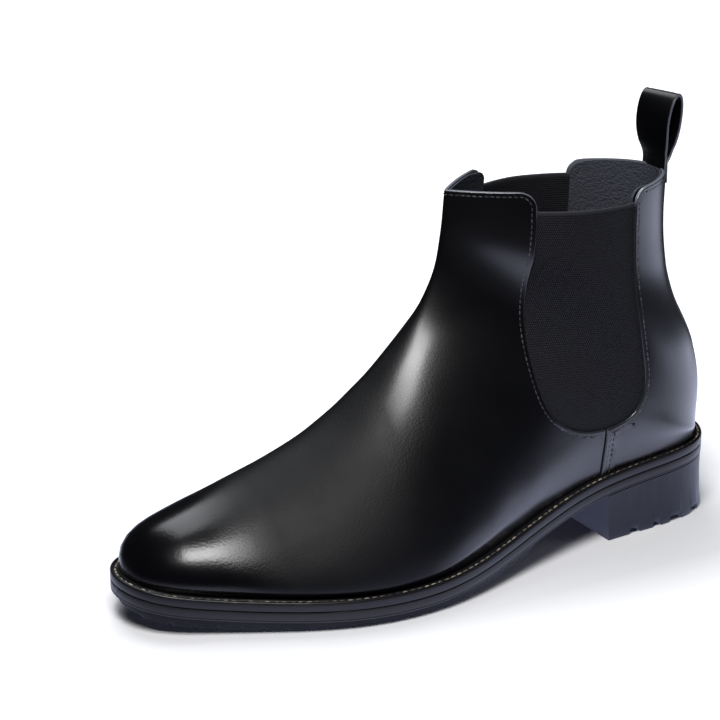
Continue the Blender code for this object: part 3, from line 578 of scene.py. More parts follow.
def in_lining(p, front):
    """Linings follow the leather's edge a little lower, and meet under the gore."""
    shape = VAMP_OUTLINE if front else QUARTER_OUTLINE
    meet = 95.0
    top = (FRONT_TOP if front else BACK_TOP) - 0.5 - p[:, 2]
    away = -polygon_distance(p, WINDOW) - 0.9
    inside = polygon_distance(p, shape) - 0.5
    split = (p[:, 1] - meet) if front else (meet - p[:, 1])
    clear_low = np.minimum(away, split - GAP / 2)
    upper = np.minimum(np.minimum(inside, top), clear_low)
    return np.where(p[:, 2] > 57, upper, clear_low)


# ---- cutting panels out of the surface ------------------------------------------------
def crossing_share(a, b, level, at):
    """How far from a to b the level is reached, by halving the span."""
    low = np.zeros(len(a))
    high = np.ones(len(a))
    for _ in range(16):
        share = (low + high) / 2
        over = level(a + (b - a) * share[:, None]) > at
        high = np.where(over, share, high)
        low = np.where(over, low, share)
    return np.clip(high, 0.02, 0.98)[:, None]


def split_triangle(triangle, value, place):
    """The triangle's parts on either side of the level; place numbers the new points."""
    above = []
    below = []
    for i in range(3):
        p = int(triangle[i])
        q = int(triangle[(i + 1) % 3])
        if value[p] >= 0:
            above.append(p)
        if value[p] <= 0:
            below.append(p)
        if value[p] * value[q] < 0:
            middle = place[(min(p, q), max(p, q))]
            above.append(middle)
            below.append(middle)
    parts = []
    for ring in (above, below):
        for i in range(1, len(ring) - 1):
            parts.append((ring[0], ring[i], ring[i + 1]))
    return parts


def sliced(mesh, level, at):
    """The mesh with an edge wherever level(point) equals at."""
    value = level(mesh.points) - at
    value[np.abs(value) < 0.03] = 0
    tri = mesh.triangles
    sign = np.sign(value[tri])
    crossed = (sign.max(axis=1) > 0) & (sign.min(axis=1) < 0)
    if not crossed.any():
        return mesh
    pairs = np.vstack([tri[crossed][:, [i, (i + 1) % 3]] for i in range(3)])
    pairs = np.unique(np.sort(pairs, axis=1), axis=0)
    pairs = pairs[value[pairs[:, 0]] * value[pairs[:, 1]] < 0]
    below = np.where(value[pairs[:, 0]] < 0, pairs[:, 0], pairs[:, 1])
    above = pairs.sum(axis=1) - below
    a = mesh.points[below]
    b = mesh.points[above]
    share = crossing_share(a, b, level, at)
    added = a + (b - a) * share
    added_normals = unit(mesh.normals[below] * (1 - share) + mesh.normals[above] * share)
    place = {tuple(pair): len(mesh.points) + i for i, pair in enumerate(pairs)}
    pieces = []
    for triangle in tri[crossed]:
        pieces += split_triangle(triangle, value, place)
    triangles = np.vstack([tri[~crossed], np.array(pieces)])
    return Mesh(np.vstack([mesh.points, added]), np.vstack([mesh.normals, added_normals]),
                triangles)


def kept_part(mesh, level):
    """Only the triangles where level is positive."""
    value = level(mesh.points)
    inside = (value[mesh.triangles].min(axis=1) > -0.05)
    inside &= value[mesh.triangles].max(axis=1) > 0.05
    triangles = mesh.triangles[inside]
    used = np.unique(triangles)
    place = np.zeros(len(mesh.points), int)
    place[used] = np.arange(len(used))
    return Mesh(mesh.points[used], mesh.normals[used], place[triangles])


def inward(points, normals, level):
    """Direction in the surface in which level grows."""
    step = 0.05
    slope = np.zeros_like(points)
    for axis in range(3):
        shift = np.zeros(3)
        shift[axis] = step
        slope[:, axis] = (level(points + shift) - level(points - shift)) / (2 * step)
    slope -= normals * np.sum(slope * normals, axis=1)[:, None]
    return unit(slope)


def sheet_faces(cut, outer_normal, across):
    """Front, back and rim faces of a closed sheet, with a normal for each face corner."""
    count = len(cut.points)
    faces = []
    shading = []
    edges = {}
    for a, b, c in cut.triangles.tolist():
        faces.append((a, b, c))
        shading.append((outer_normal[a], outer_normal[b], outer_normal[c]))
        for pair in ((a, b), (b, c), (c, a)):
            edges[pair] = True
    for a, b, c in cut.triangles.tolist():
        faces.append((c + count, b + count, a + count))
        shading.append((-cut.normals[c], -cut.normals[b], -cut.normals[a]))
    for a, b in edges:
        if (b, a) not in edges:
            faces.append((b, a, a + count, b + count))
            shading.append((-across[b], -across[a], -across[a], -across[b]))
    return faces, shading


def panel(name, base, level, thickness, face, rings, edge=EDGE_RADIUS):
    """Leather sheet: a face shaped by face(points, distance), rounded edges, a flat back."""
    near = Mesh(base.points, base.normals, base.triangles)
    rough = level(near.points)
    near.triangles = near.triangles[rough[near.triangles].max(axis=1) > -3]
    cut = sliced(near, level, 0.0)
    cut = kept_part(cut, level)
    for at in [0.12 * edge, 0.4 * edge, edge] + list(rings):
        cut = sliced(cut, level, at)
    distance = np.maximum(level(cut.points), 0)
    across = inward(cut.points, cut.normals, level)

    def height(points, far):
        drop = edge - np.sqrt(np.maximum(edge ** 2 - np.maximum(edge - far, 0) ** 2, 0))
        return face(points, far) - drop

    step = 0.04
    here = height(cut.points, distance)
    ahead = height(cut.points + across * step, distance + step)
    behind = height(cut.points - across * step, np.maximum(distance - step, 0))
    span = np.where(distance > step, 2 * step, step + distance)
    slope = (ahead - behind) / span
    slope = np.where(distance < 0.05 * edge, 40.0, slope)
    outer_normal = unit(cut.normals - across * slope[:, None])
    top = cut.points + cut.normals * here[:, None]
    base_face = face(cut.points, distance)
    low = cut.points + cut.normals * (base_face - thickness)[:, None]
    faces, shading = sheet_faces(cut, outer_normal, across)
    item = add_mesh(name, np.vstack([top, low]), faces)
    store(item, "edge", np.r_[distance, distance * 0])
    shade(item, shading)
    return item


# ---- meshes ---------------------------------------------------------------------------
def to_world(points):
    p = np.asarray(points, float) * MM
    p = p * np.array([1, -1, 1])
    return p + ORIGIN


def to_world_direction(vectors):
    return np.asarray(vectors, float) * np.array([1, -1, 1])


def add_mesh(name, points, faces):
    """Object from points in the boot's millimetres; its faces turn over with the mirroring."""
    mesh = bpy.data.meshes.new(name)
    p = to_world(points)
    mesh.from_pydata(p.tolist(), [], [tuple(f)[::-1] for f in faces])
    mesh.shade_smooth()
    item = bpy.data.objects.new(name, mesh)
    bpy.context.scene.collection.objects.link(item)
    return item


def shade(item, corner_normals):
    """Sets each face corner's normal, given in the boot's axes and the faces' first order."""
    flat = []
    for corners in corner_normals:
        flat.extend(corners[::-1])
    item.data.normals_split_custom_set(to_world_direction(flat).tolist())


def store(item, name, values):
    """Keeps a number, or a vector, at each point for the materials and trees to read."""
    values = np.asarray(values, float)
    kind = "FLOAT" if values.ndim == 1 else "FLOAT_VECTOR"
    layer = item.data.attributes.new(name, kind, "POINT")
    layer.data.foreach_set("value" if values.ndim == 1 else "vector", values.ravel())


def fix_normals(item, angle=40):
    """Faces outwards, smooth but for sharp edges."""
    shape = bmesh.new()
    shape.from_mesh(item.data)
    bmesh.ops.recalc_face_normals(shape, faces=shape.faces)
    shape.to_mesh(item.data)
    shape.free()
    item.data.shade_smooth()
    item.data.set_sharp_from_angle(angle=math.radians(angle))


class Projector:
    """Finds the upper's surface along x."""

    def __init__(self, mesh):
        self.mesh = mesh
        self.tree = BVHTree.FromPolygons(mesh.points.tolist(), mesh.triangles.tolist())

    def at(self, t, z, side):
        """Point and normal of the surface where a line along x at (t, z) leaves one side."""
        hit = self.tree.ray_cast(Vector((90.0 * side, t, z)), Vector((-side, 0, 0)))
        if hit[0] is None:
            return None
        a, b, c = self.mesh.triangles[hit[2]]
        pa, pb, pc = (self.mesh.points[i] for i in (a, b, c))
        p = np.array(hit[0])
        total = np.linalg.norm(np.cross(pb - pa, pc - pa))
        wa = np.linalg.norm(np.cross(pb - p, pc - p)) / total
        wb = np.linalg.norm(np.cross(pc - p, pa - p)) / total
        n = self.mesh.normals
        return p, unit(n[a] * wa + n[b] * wb + n[c] * (1 - wa - wb))

    def along(self, route, side):
        found = [self.at(t, z, side) for t, z in route]
        found = [f for f in found if f is not None]
        return np.array([f[0] for f in found]), np.array([f[1] for f in found])


# ---- the upper ------------------------------------------------------------------------
def seam_dent(distance, inset=SEAM_INSET, half=0.7):
    """How far a row of stitches at the inset from the edge pulls the leather in."""
    return SEAM_DENT * (1 - smooth_step(np.abs(distance - inset) / half))


def vamp_face(points, distance):
    """Height of the vamp's face: dented by its stitching, apart from the low front."""
    stitched = np.where((points[:, 1] < SIDE_SEAM + 8) & (points[:, 2] < 56), 0, 1)
    return -seam_dent(distance) * stitched


def quarter_face(points, distance):
    """Height of the quarter's face: it laps over the vamp, with a double row there."""
    low = smooth_step((60 - points[:, 2]) / 8)
    ahead = np.clip(1 - (SIDE_SEAM - points[:, 1]) / 9, 0, 1)
    raised = 0.8 * low * smooth_step(ahead)
    stitched = np.where(np.abs(points[:, 0]) < 4, 0, 1)
    second = seam_dent(distance, 2 * SEAM_INSET + 0.4) * low * np.where(
        points[:, 1] > 60, 1, 0)
    return raised - seam_dent(distance) * stitched - second


def strip_face(points, distance):
    return 1.15 - seam_dent(distance, 1.6)


def lining_face(points, distance):
    """The lining meets the leather at the topline and lies deeper beside the gore."""
    beside = smooth_step((-polygon_distance(points, WINDOW) - 7) / 6)
    high = smooth_step((points[:, 2] - 140) / 15)
    return -(3.2 - 1.62 * beside * high)


SEAM_RINGS = [SEAM_INSET - 0.7, SEAM_INSET, SEAM_INSET + 0.7]


def make_upper(base):
    pieces = {}
    pieces["vamp"] = panel("vamp_leather", base, in_vamp, LEATHER, vamp_face, SEAM_RINGS)
    for side, word in ((1, "lateral"), (-1, "medial")):
        pieces["quarter_" + word] = panel(
            f"quarter_leather_{word}", base, lambda p: in_quarter(p, side), LEATHER,
            quarter_face, SEAM_RINGS + [2 * SEAM_INSET + 0.4])
    pieces["back_strip"] = panel("back_strip_leather", base, in_strip, 1.1, strip_face,
                                 [0.9, 1.6, 2.3], edge=0.5)
    return pieces


def make_linings(base):
    front = panel("vamp_lining_leather", base, lambda p: in_lining(p, True), LINING,
                  lining_face, [], edge=0.45)
    rear = panel("quarter_lining_leather", base, lambda p: in_lining(p, False), LINING,
                 lining_face, [], edge=0.45)
    return front, rear


def gore_rows(count):
    """Side-view rows of the elastic from its foot to its top edge, (t, z) ends of each."""
    heights = np.linspace(52, 163, 223)
    along = np.linspace(48, 118, 281)
    grid_t, grid_z = np.meshgrid(along, heights)
    flat = np.column_stack([0 * grid_t.ravel(), grid_t.ravel(), grid_z.ravel()])
    inside = polygon_distance(flat, WINDOW).reshape(grid_t.shape) > -GORE_TUCK
    ends = []
    for row, z in zip(inside, heights):
        if row.sum() > 8:
            ends.append((along[row][0], along[row][-1], z))
    ends = np.array(ends)
    share = np.linspace(0, 1, count)
    known = np.linspace(0, 1, len(ends))
    rear = np.interp(share, known, ends[:, 0])
    fore = np.interp(share, known, ends[:, 1])
    return rear, fore, share, ends[0, 2]


def make_gore(projector, side, word):
    """Closed sheet of elastic whose ribs a tree raises afterwards."""
    rows = 420
    columns = 34
    rear, fore, share, foot = gore_rows(rows)
    points = []
    normals = []
    run = []
    slope = (GORE_TOP_FRONT - GORE_TOP_REAR) / 51.0
    for i in range(rows):
        for j in range(columns):
            across = j / (columns - 1)
            t = rear[i] + (fore[i] - rear[i]) * across
            top = GORE_TOP_REAR + slope * (t - 57.5)
            z = foot + (top - foot) * share[i]
            p, n = projector.at(t, z, side)
            points.append(p)
            normals.append(n)
            run.append((t, z, top - z))
    points = np.array(points)
    normals = np.array(normals)
    run = np.array(run) * MM
    from_edge = run[:, 2] / MM
    rounding = 0.35 * (1 - np.sqrt(np.clip(from_edge / 0.7, 0, 1)))
    outer = points - normals * (GORE_DEPTH + rounding)[:, None]
    inner = points - normals * (GORE_DEPTH + GORE_THICKNESS - rounding)[:, None]
    count = rows * columns
    faces = []
    for i in range(rows - 1):
        for j in range(columns - 1):
            a = i * columns + j
            quad = (a, a + 1, a + columns + 1, a + columns)
            faces.append(quad)
            faces.append(tuple(q + count for q in quad[::-1]))
    rim = list(range(columns))
    rim += [i * columns + columns - 1 for i in range(1, rows)]
    rim += [(rows - 1) * columns + j for j in range(columns - 2, -1, -1)]
    rim += [i * columns for i in range(rows - 2, 0, -1)]
    for a, b in zip(rim, rim[1:] + rim[:1]):
        faces.append((b, a, a + count, b + count))
    item = add_mesh("gore_" + word + "_elastic", np.vstack([outer, inner]), faces)
    store(item, "run", np.vstack([run, run]))
    fix_normals(item, 80)
    return item


# ---- the bottom -----------------------------------------------------------------------
def offset_outline(u, distance):
    """Outline of the upper moved outwards by a distance, (x, t)."""
    here = outline(u)
    ahead = outline(u + 0.05) - outline(u - 0.05)
    out = unit(np.stack([-ahead[:, 1], ahead[:, 0]], 1))
    if np.sum((here - here.mean(axis=0)) * out) < 0:
        out = -out
    return here + out * np.reshape(distance, (-1, 1))


def overhang(t):
    """Welt's width past the upper: wide round the forepart, narrower at the heel."""
    return WELT_OVERHANG - 1.4 * np.clip((110 - t) / 60, 0, 1)


def ring_sweep(name, section, count=420):
    """Closed band round the outline; section is (share of overhang, extra, height) rows."""
    u = np.linspace(0, LOOP_RUN, count, endpoint=False)
    width = overhang(outline(u)[:, 1])
    rows = []
    for share, extra, height in section:
        edge = offset_outline(u, width * share + extra)
        rows.append(np.column_stack([edge, sole_z(edge[:, 1]) + height]))
    faces = []
    for i in range(count):
        j = (i + 1) % count
        for k in range(len(section)):
            m = (k + 1) % len(section)
            faces.append((k * count + i, m * count + i, m * count + j, k * count + j))
    item = add_mesh(name, np.vstack(rows), faces)
    fix_normals(item, 50)
    return item


def edge_x(t, distance):
    """Medial and lateral x of the moved outline at each t, then its ends along t."""
    u = np.linspace(0, LOOP_RUN, 4000, endpoint=False)
    reach = distance(outline(u)[:, 1]) if callable(distance) else distance
    ring = offset_outline(u, np.broadcast_to(reach, u.shape))
    toe = int(np.argmax(ring[:, 1]))
    ring = np.roll(ring, -toe, axis=0)
    heel = int(np.argmin(ring[:, 1]))
    lateral = ring[:heel + 1][::-1]
    medial = np.vstack([ring[heel:], ring[:1]])
    return (np.interp(t, medial[:, 1], medial[:, 0]),
            np.interp(t, lateral[:, 1], lateral[:, 0]), ring[heel, 1], ring[0, 1])


def stations_between(low, high, round_low, round_high, count, extra=()):
    """Stations along t, drawn together where an end is rounded."""
    a = np.linspace(0 if round_low else math.pi / 2, math.pi if round_high else math.pi / 2,
                    count)
    spread = -np.cos(a)
    spread = (spread - spread[0]) / (spread[-1] - spread[0])
    t = low + (high - low) * spread
    if round_low:
        t[0] += 0.04
    if round_high:
        t[-1] -= 0.04
    fixed = [e for e in extra if t[0] < e < t[-1]]
    near = np.array([min([abs(v - e) for e in fixed] + [9]) for v in t])
    keep = (near > 0.5) | (np.arange(len(t)) == 0) | (np.arange(len(t)) == len(t) - 1)
    return np.unique(np.r_[t[keep], fixed])


def plate(name, t, levels, across=10, angle=50):
    """Body from side to side of the outline; levels are (distance, heights, slide) from the
    top face down, each a number, an array over t or a function of t."""
    columns = across + 1
    n = len(t)
    share = np.linspace(0, 1, columns)
    layers = []
    for distance, height, slide in levels:
        medial, lateral, _, _ = edge_x(t, distance)
        x = medial[:, None] + (lateral - medial)[:, None] * share
        z = height(t) if callable(height) else height
        along = t - (slide(t) if callable(slide) else slide)
        layers.append(np.stack([x, np.repeat(along[:, None], columns, 1),
                                np.repeat(np.asarray(z)[:, None], columns, 1)], 2))
    index = {}
    points = []

    def corner(k, i, j):
        key = (k, i, j)
        if key not in index:
            index[key] = len(points)
            points.append(layers[k][i, j])
        return index[key]

    faces = []
    last = len(levels) - 1
    for i in range(n - 1):
        for j in range(across):
            for k in (0, last):
                faces.append((corner(k, i, j), corner(k, i + 1, j),
                              corner(k, i + 1, j + 1), corner(k, i, j + 1)))
    for k in range(last):
        for j in (0, across):
            for i in range(n - 1):
                faces.append((corner(k, i, j), corner(k, i + 1, j),
                              corner(k + 1, i + 1, j), corner(k + 1, i, j)))
        for i in (0, n - 1):
            for j in range(across):
                faces.append((corner(k, i, j), corner(k, i, j + 1),
                              corner(k + 1, i, j + 1), corner(k + 1, i, j)))
    item = add_mesh(name, np.array(points), faces)
    fix_normals(item, angle)
    return item


def above_sole(height):
    return lambda t: sole_z(t) + height


def make_welt():
    low = MIDSOLE + 0.1
    top = MIDSOLE + GAP + WELT
    section = [(0, -3.0, low), (1, -0.7, low), (1, -0.25, low + 0.12), (1, 0, low + 0.5),
               (1, 0, top - 1.0), (1, -0.18, top - 0.45), (1, -0.6, top - 0.12),
               (1, -1.0, top), (0.72, 0, top - 0.05), (0.62, 0, top - 0.7),
               (0.5, 0, top - 0.95), (0.38, 0, top - 0.7), (0.28, 0, top - 0.1),
               (0.1, 0, top), (0, -0.6, top), (0, -3.0, top)]
    return ring_sweep("welt_strip", section)


def make_midsole():
    _, _, heel, toe = edge_x(np.zeros(1), overhang)
    t = stations_between(heel, toe, True, True, 150)

    def inset(distance):
        return lambda t: overhang(t) - distance

    levels = [(inset(0.5), above_sole(MIDSOLE), 0), (inset(0.12), above_sole(MIDSOLE - 0.15), 0),
              (inset(0), above_sole(MIDSOLE - 0.5), 0), (inset(0.04), above_sole(3.1), 0),
              (inset(0), above_sole(1.25), 0), (inset(0.16), above_sole(1.0), 0),
              (inset(0.05), above_sole(0.8), 0), (inset(0.1), above_sole(0.3), 0),
              (inset(0.5), above_sole(0), 0)]
    return plate("midsole_edge", t, levels)


def ground_under(depth):
    return lambda t: np.maximum(0.0, sole_z(t) - RUBBER) + depth


def make_rubber():
    """Rubber forepart: a base plate, and bars on it that touch the ground."""
    def inset(distance):
        return lambda t: overhang(t) - RUBBER_INSET - distance

    _, _, _, toe = edge_x(np.zeros(1), inset(0))
    t = stations_between(RUBBER_START, toe, False, True, 110)
    groove = LUG_HEIGHT
    levels = [(inset(0), above_sole(-0.1), 0), (inset(0), ground_under(groove + 0.5), 0),
              (inset(0.15), ground_under(groove + 0.15), 0),
              (inset(0.5), ground_under(groove), 0)]
    base = plate("rubber_base", t, levels)
    bars = []
    for start in np.arange(RUBBER_START + 1.5, toe - 8, LUG_PITCH):
        end = start + LUG_PITCH - LUG_GAP
        bars += rubber_bar(start, end, groove, inset)
    points = []
    faces = []
    for bar_points, bar_faces in bars:
        offset = len(points)
        points += bar_points
        faces += [tuple(i + offset for i in f) for f in bar_faces]
    lugs = add_mesh("rubber_lugs", np.array(points), faces)
    fix_normals(lugs, 30)
    soften(lugs, 0.25)
    return base, lugs


def rubber_bar(start, end, groove, inset):
    """Two edge blocks and a middle block between two stations."""
    t = np.linspace(start, end, 4)
    medial, lateral, _, _ = edge_x(t, inset(0.05))
    width = lateral - medial
    block = np.minimum(13.0, width * 0.3)
    ranges = [(medial, medial + block), (lateral - block, lateral)]
    if width.min() > 34:
        ranges.append((medial + block + BLOCK_GAP, lateral - block - BLOCK_GAP))
    made = []
    for low_x, high_x in ranges:
        points = []
        for lift, tuck in ((groove + 0.4, 0), (0, 0.25)):
            z = ground_under(lift)(t)
            for i in range(4):
                points.append((low_x[i] + tuck, t[i], z[i]))
                points.append((high_x[i] - tuck, t[i], z[i]))
        faces = []
        for i in range(3):
            a = 2 * i
            faces += [(a, a + 1, a + 3, a + 2), (a + 8, a + 10, a + 11, a + 9),
                      (a, a + 2, a + 10, a + 8), (a + 1, a + 9, a + 11, a + 3)]
        faces += [(0, 8, 9, 1), (6, 7, 15, 14)]
        made.append((points, faces))
    return made


def soften(item, width, segments=2):
    """Small rounded edges."""
    bevel = item.modifiers.new("soft_edges", "BEVEL")
    bevel.width = width * MM
    bevel.segments = segments
    bevel.limit_method = "ANGLE"
    bevel.angle_limit = math.radians(40)
    bevel.harden_normals = False


def groove_depth(t, grooves, depth, wall=0.7):
    """Depth of the notches cut across at the given stations, with sloped walls."""
    total = np.zeros(len(t))
    for start, end in grooves:
        inside = np.minimum(t - start, end - t) / wall
        total = np.maximum(total, depth * smooth_step(inside))
    return total


def make_heel():
    """Heel block, upright at the breast and flared to the back, notched underneath."""
    def inset(distance):
        return lambda t: overhang(t) - 0.25 - distance

    _, _, heel, _ = edge_x(np.zeros(1), inset(0))
    extra = [start + (end - start) * s for start, end in HEEL_NOTCHES for s in (0, 1)]
    extra += [start + w for start, _ in HEEL_NOTCHES for w in (0.35, 0.7)]
    extra += [end - w for _, end in HEEL_NOTCHES for w in (0.35, 0.7)]
    t = stations_between(heel, HEEL_BREAST, True, False, 110, extra)

    def slide(share):
        def moved(t):
            back_share = np.clip((HEEL_BREAST - t) / (HEEL_BREAST - heel), 0, 1)
            return share * (HEEL_FLARE * back_share ** 2 + 1.6 * (1 - back_share))
        return moved

    bottom = groove_depth(t, HEEL_NOTCHES, HEEL_NOTCH_DEPTH)
    top = sole_z(t) - 0.05
    levels = [(inset(0.4), top, 0), (inset(0.05), top - 0.35, 0)]
    for share in (0.1, 0.25, 0.45, 0.65, 0.82, 0.93):
        tuck = 0.55 * 4 * share * (1 - share) + 0.9 * share
        height = top + (bottom + 0.6 - top) * share
        levels.append((inset(tuck), height, slide(share)))
    levels += [(inset(1.0), bottom + 0.5, slide(1)), (inset(1.15), bottom + 0.15, slide(1)),
               (inset(1.6), bottom, slide(1))]
    return plate("heel_stack", t, levels, across=14, angle=45)


def make_sock():
    """Leather sock over the insole, its edge turned up a little against the lining."""
    edge = -SOCK_INSET
    _, _, heel, toe = edge_x(np.zeros(1), edge)
    t = stations_between(heel, toe, True, True, 90)

    def lift(t):
        return SOCK_HEIGHT + PAD_RISE * smooth_step((92 - t) / 14)

    def low(t):
        return sole_z(t) + lift(t) - 1.0

    levels = [(edge - 0.4, lambda t: low(t) + 1.0, 0), (edge - 0.1, lambda t: low(t) + 0.85, 0),
              (edge, lambda t: low(t) + 0.6, 0), (edge, low, 0)]
    return plate("sock_leather", t, levels, across=16)


# ---- pull tab -------------------------------------------------------------------------
def tab_line():
    """Middle line of the folded strip in its side view: leg, loop, leg."""
    turn = np.linspace(0, 2 * math.pi, 121)
    swell = np.sin(turn) * np.sin(turn / 2)
    line = np.column_stack([TAB_DEPTH * swell, TAB_HEIGHT * (1 - np.cos(turn)) / 2])
    line[:, 0] += 0.45 * np.where(turn < math.pi, 1, -1) * np.exp(-line[:, 1] / 6)
    foot = np.linspace(-TAB_LEGS, 0, 12)[:-1]
    front_leg = np.column_stack([np.full(11, 0.6), foot])
    rear_leg = np.column_stack([np.full(11, -0.6), foot[::-1]])
    line = np.vstack([front_leg, line[1:-1], rear_leg])
    for _ in range(6):
        line[1:-1] = (line[:-2] + 2 * line[1:-1] + line[2:]) / 4
    return line


def turned_tab(place, x):
    """A point of the flat loop, turned about its upright line and leaned back."""
    rise = max(place[1], 0.0)
    spread = 1 - 0.10 * math.exp(-((rise - 5) / 6.0) ** 2)
    angle = math.radians(10 + 10 * rise / TAB_HEIGHT)
    x = x * spread
    lean = 0.6 * math.sin(math.pi * rise / TAB_HEIGHT) - 0.06 * rise
    return (x * math.cos(angle) + place[0] * math.sin(angle),
            TAB_PIVOT[0] + place[0] * math.cos(angle)
            - x * math.sin(angle) * min(1.0, rise / 8) + lean,
            TAB_PIVOT[1] + place[1])


def make_tab():
    """Folded leather loop whose legs are sewn in between upper and lining."""
    line = tab_line()
    ahead = unit(np.gradient(line, axis=0))
    out = np.stack([-ahead[:, 1], ahead[:, 0]], 1)
    half = TAB_HALF_WIDTH
    widths = np.r_[-1, -0.985, -0.94, np.linspace(-0.8, 0.8, 9), 0.94, 0.985, 1] * half
    from_side = half - np.abs(widths)
    rounding = 0.6 - np.sqrt(np.maximum(0.36 - np.maximum(0.6 - from_side, 0) ** 2, 0))
    stitch = 0.12 * np.exp(-((from_side - 1.9) / 0.5) ** 2)
    n = len(line)
    m = len(widths)
    points = []
    edge = []
    for face in (1, -1):
        for i in range(n):
            free = smooth_step((line[i, 1] + 0.5) / 4)
            spare = TAB_THICKNESS - TAB_LEG_THICKNESS
            half_thick = (TAB_LEG_THICKNESS + spare * free) / 2
            tuck = np.array([0.85 * (1 - free), 0])
            for j in range(m):
                offset = face * (half_thick - rounding[j] * half_thick / 0.75 - stitch[j])
                points.append(turned_tab(line[i] + out[i] * offset + tuck, widths[j]))
                edge.append(from_side[j])
    count = n * m
    faces = []
    for i in range(n - 1):
        for j in range(m - 1):
            a = i * m + j
            faces.append((a, a + 1, a + m + 1, a + m))
            faces.append((a + count + m, a + count + m + 1, a + count + 1, a + count))
        for j in (0, m - 1):
            a = i * m + j
            faces.append((a, a + m, a + m + count, a + count))
    for j in range(m - 1):
        for a in (j, (n - 1) * m + j):
            faces.append((a, a + 1, a + 1 + count, a + count))
    item = add_mesh("pull_tab_leather", np.array(points), faces)
    store(item, "edge", edge)
    fix_normals(item, 60)
    return item


# ---- trees of repeated parts ----------------------------------------------------------
def new_tree(name, inputs):
    """Geometry tree with a mesh in and out and named number or material inputs."""
    tree = bpy.data.node_groups.new(name, "GeometryNodeTree")
    face = tree.interface
    face.new_socket("Geometry", in_out="INPUT", socket_type="NodeSocketGeometry")
    for label, kind, value in inputs:
        socket = face.new_socket(label, in_out="INPUT", socket_type=kind)
        if value is not None:
            socket.default_value = value
    face.new_socket("Geometry", in_out="OUTPUT", socket_type="NodeSocketGeometry")
    return tree


class Nodes:
    """Short way to place and wire nodes in one tree."""

    def __init__(self, tree):
        self.tree = tree
        self.count = 0

    def add(self, kind, sets=None, **inputs):
        node = self.tree.nodes.new(kind)
        node.location = (200 * (self.count % 12), -260 * (self.count // 12))
        self.count += 1
        for key, value in (sets or {}).items():
            setattr(node, key, value)
        for key, value in inputs.items():
            self.feed(node, key.replace("_", " "), value)
        return node

    def feed(self, node, key, value):
        socket = node.inputs[int(key)] if key.isdigit() else node.inputs[key]
        if isinstance(value, bpy.types.NodeSocket):
            self.tree.links.new(value, socket)
        else:
            socket.default_value = value

    def math(self, operation, a, b=0.0):
        node = self.add("ShaderNodeMath", {"operation": operation})
        self.feed(node, "0", a)
        self.feed(node, "1", b)
        return node.outputs[0]

    def scaled(self, vector, factor):
        node = self.add("ShaderNodeVectorMath", {"operation": "SCALE"})
        self.feed(node, "0", vector)
        self.feed(node, "Scale", factor)
        return node.outputs[0]


def stitch_tree():
    """Stitches along a path: one short rounded thread at each step."""
    tree = new_tree("stitch_row", [
        ("Pitch", "NodeSocketFloat", 0.0028), ("Length", "NodeSocketFloat", 0.002),
        ("Width", "NodeSocketFloat", 0.0006), ("Height", "NodeSocketFloat", 0.0005),
        ("Lift", "NodeSocketFloat", 0.0), ("Wander", "NodeSocketFloat", 0.06),
        ("Seed", "NodeSocketInt", 3), ("Finish", "NodeSocketMaterial", None)])
    n = Nodes(tree)
    given = n.add("NodeGroupInput").outputs
    curve = n.add("GeometryNodeMeshToCurve", Mesh=given["Geometry"])
    spaced = n.add("GeometryNodeResampleCurve", Curve=curve.outputs["Curve"])
    spaced.mode = "LENGTH"
    n.feed(spaced, "Length", given["Pitch"])
    face_up = n.add("GeometryNodeInputNamedAttribute", {"data_type": "FLOAT_VECTOR"},
                    Name="face_up").outputs["Attribute"]
    raised = n.add("GeometryNodeSetPosition", Geometry=spaced.outputs["Curve"],
                   Offset=n.scaled(face_up, given["Lift"]))
    upright = n.add("FunctionNodeAlignRotationToVector", {"axis": "Z"}, Vector=face_up)
    tangent = n.add("GeometryNodeInputTangent").outputs[0]
    turned = n.add("FunctionNodeAlignRotationToVector", {"axis": "X", "pivot_axis": "Z"},
                   Rotation=upright.outputs[0], Vector=tangent)
    chance = n.add("FunctionNodeRandomValue", {"data_type": "FLOAT"}, Seed=given["Seed"])
    n.tree.links.new(given["Wander"], chance.inputs[3])
    n.tree.links.new(n.math("MULTIPLY", given["Wander"], -1.0), chance.inputs[2])
    yaw = n.add("ShaderNodeCombineXYZ", Z=chance.outputs[1])
    swung = n.add("FunctionNodeRotateRotation", {"rotation_space": "LOCAL"},
                  Rotation=turned.outputs[0], Rotate_By=yaw.outputs[0])
    thread = n.add("GeometryNodeMeshUVSphere", Segments=8, Rings=5, Radius=0.5)
    size = n.add("ShaderNodeCombineXYZ", X=given["Length"], Y=given["Width"],
                 Z=given["Height"])
    placed = n.add("GeometryNodeInstanceOnPoints", Points=raised.outputs[0],
                   Instance=thread.outputs["Mesh"], Rotation=swung.outputs[0],
                   Scale=size.outputs[0])
    real = n.add("GeometryNodeRealizeInstances", Geometry=placed.outputs[0])
    smooth = n.add("GeometryNodeSetShadeSmooth", Geometry=real.outputs[0])
    finished = n.add("GeometryNodeSetMaterial", Geometry=smooth.outputs[0],
                     Material=given["Finish"])
    n.add("NodeGroupOutput", Geometry=finished.outputs[0])
    return tree


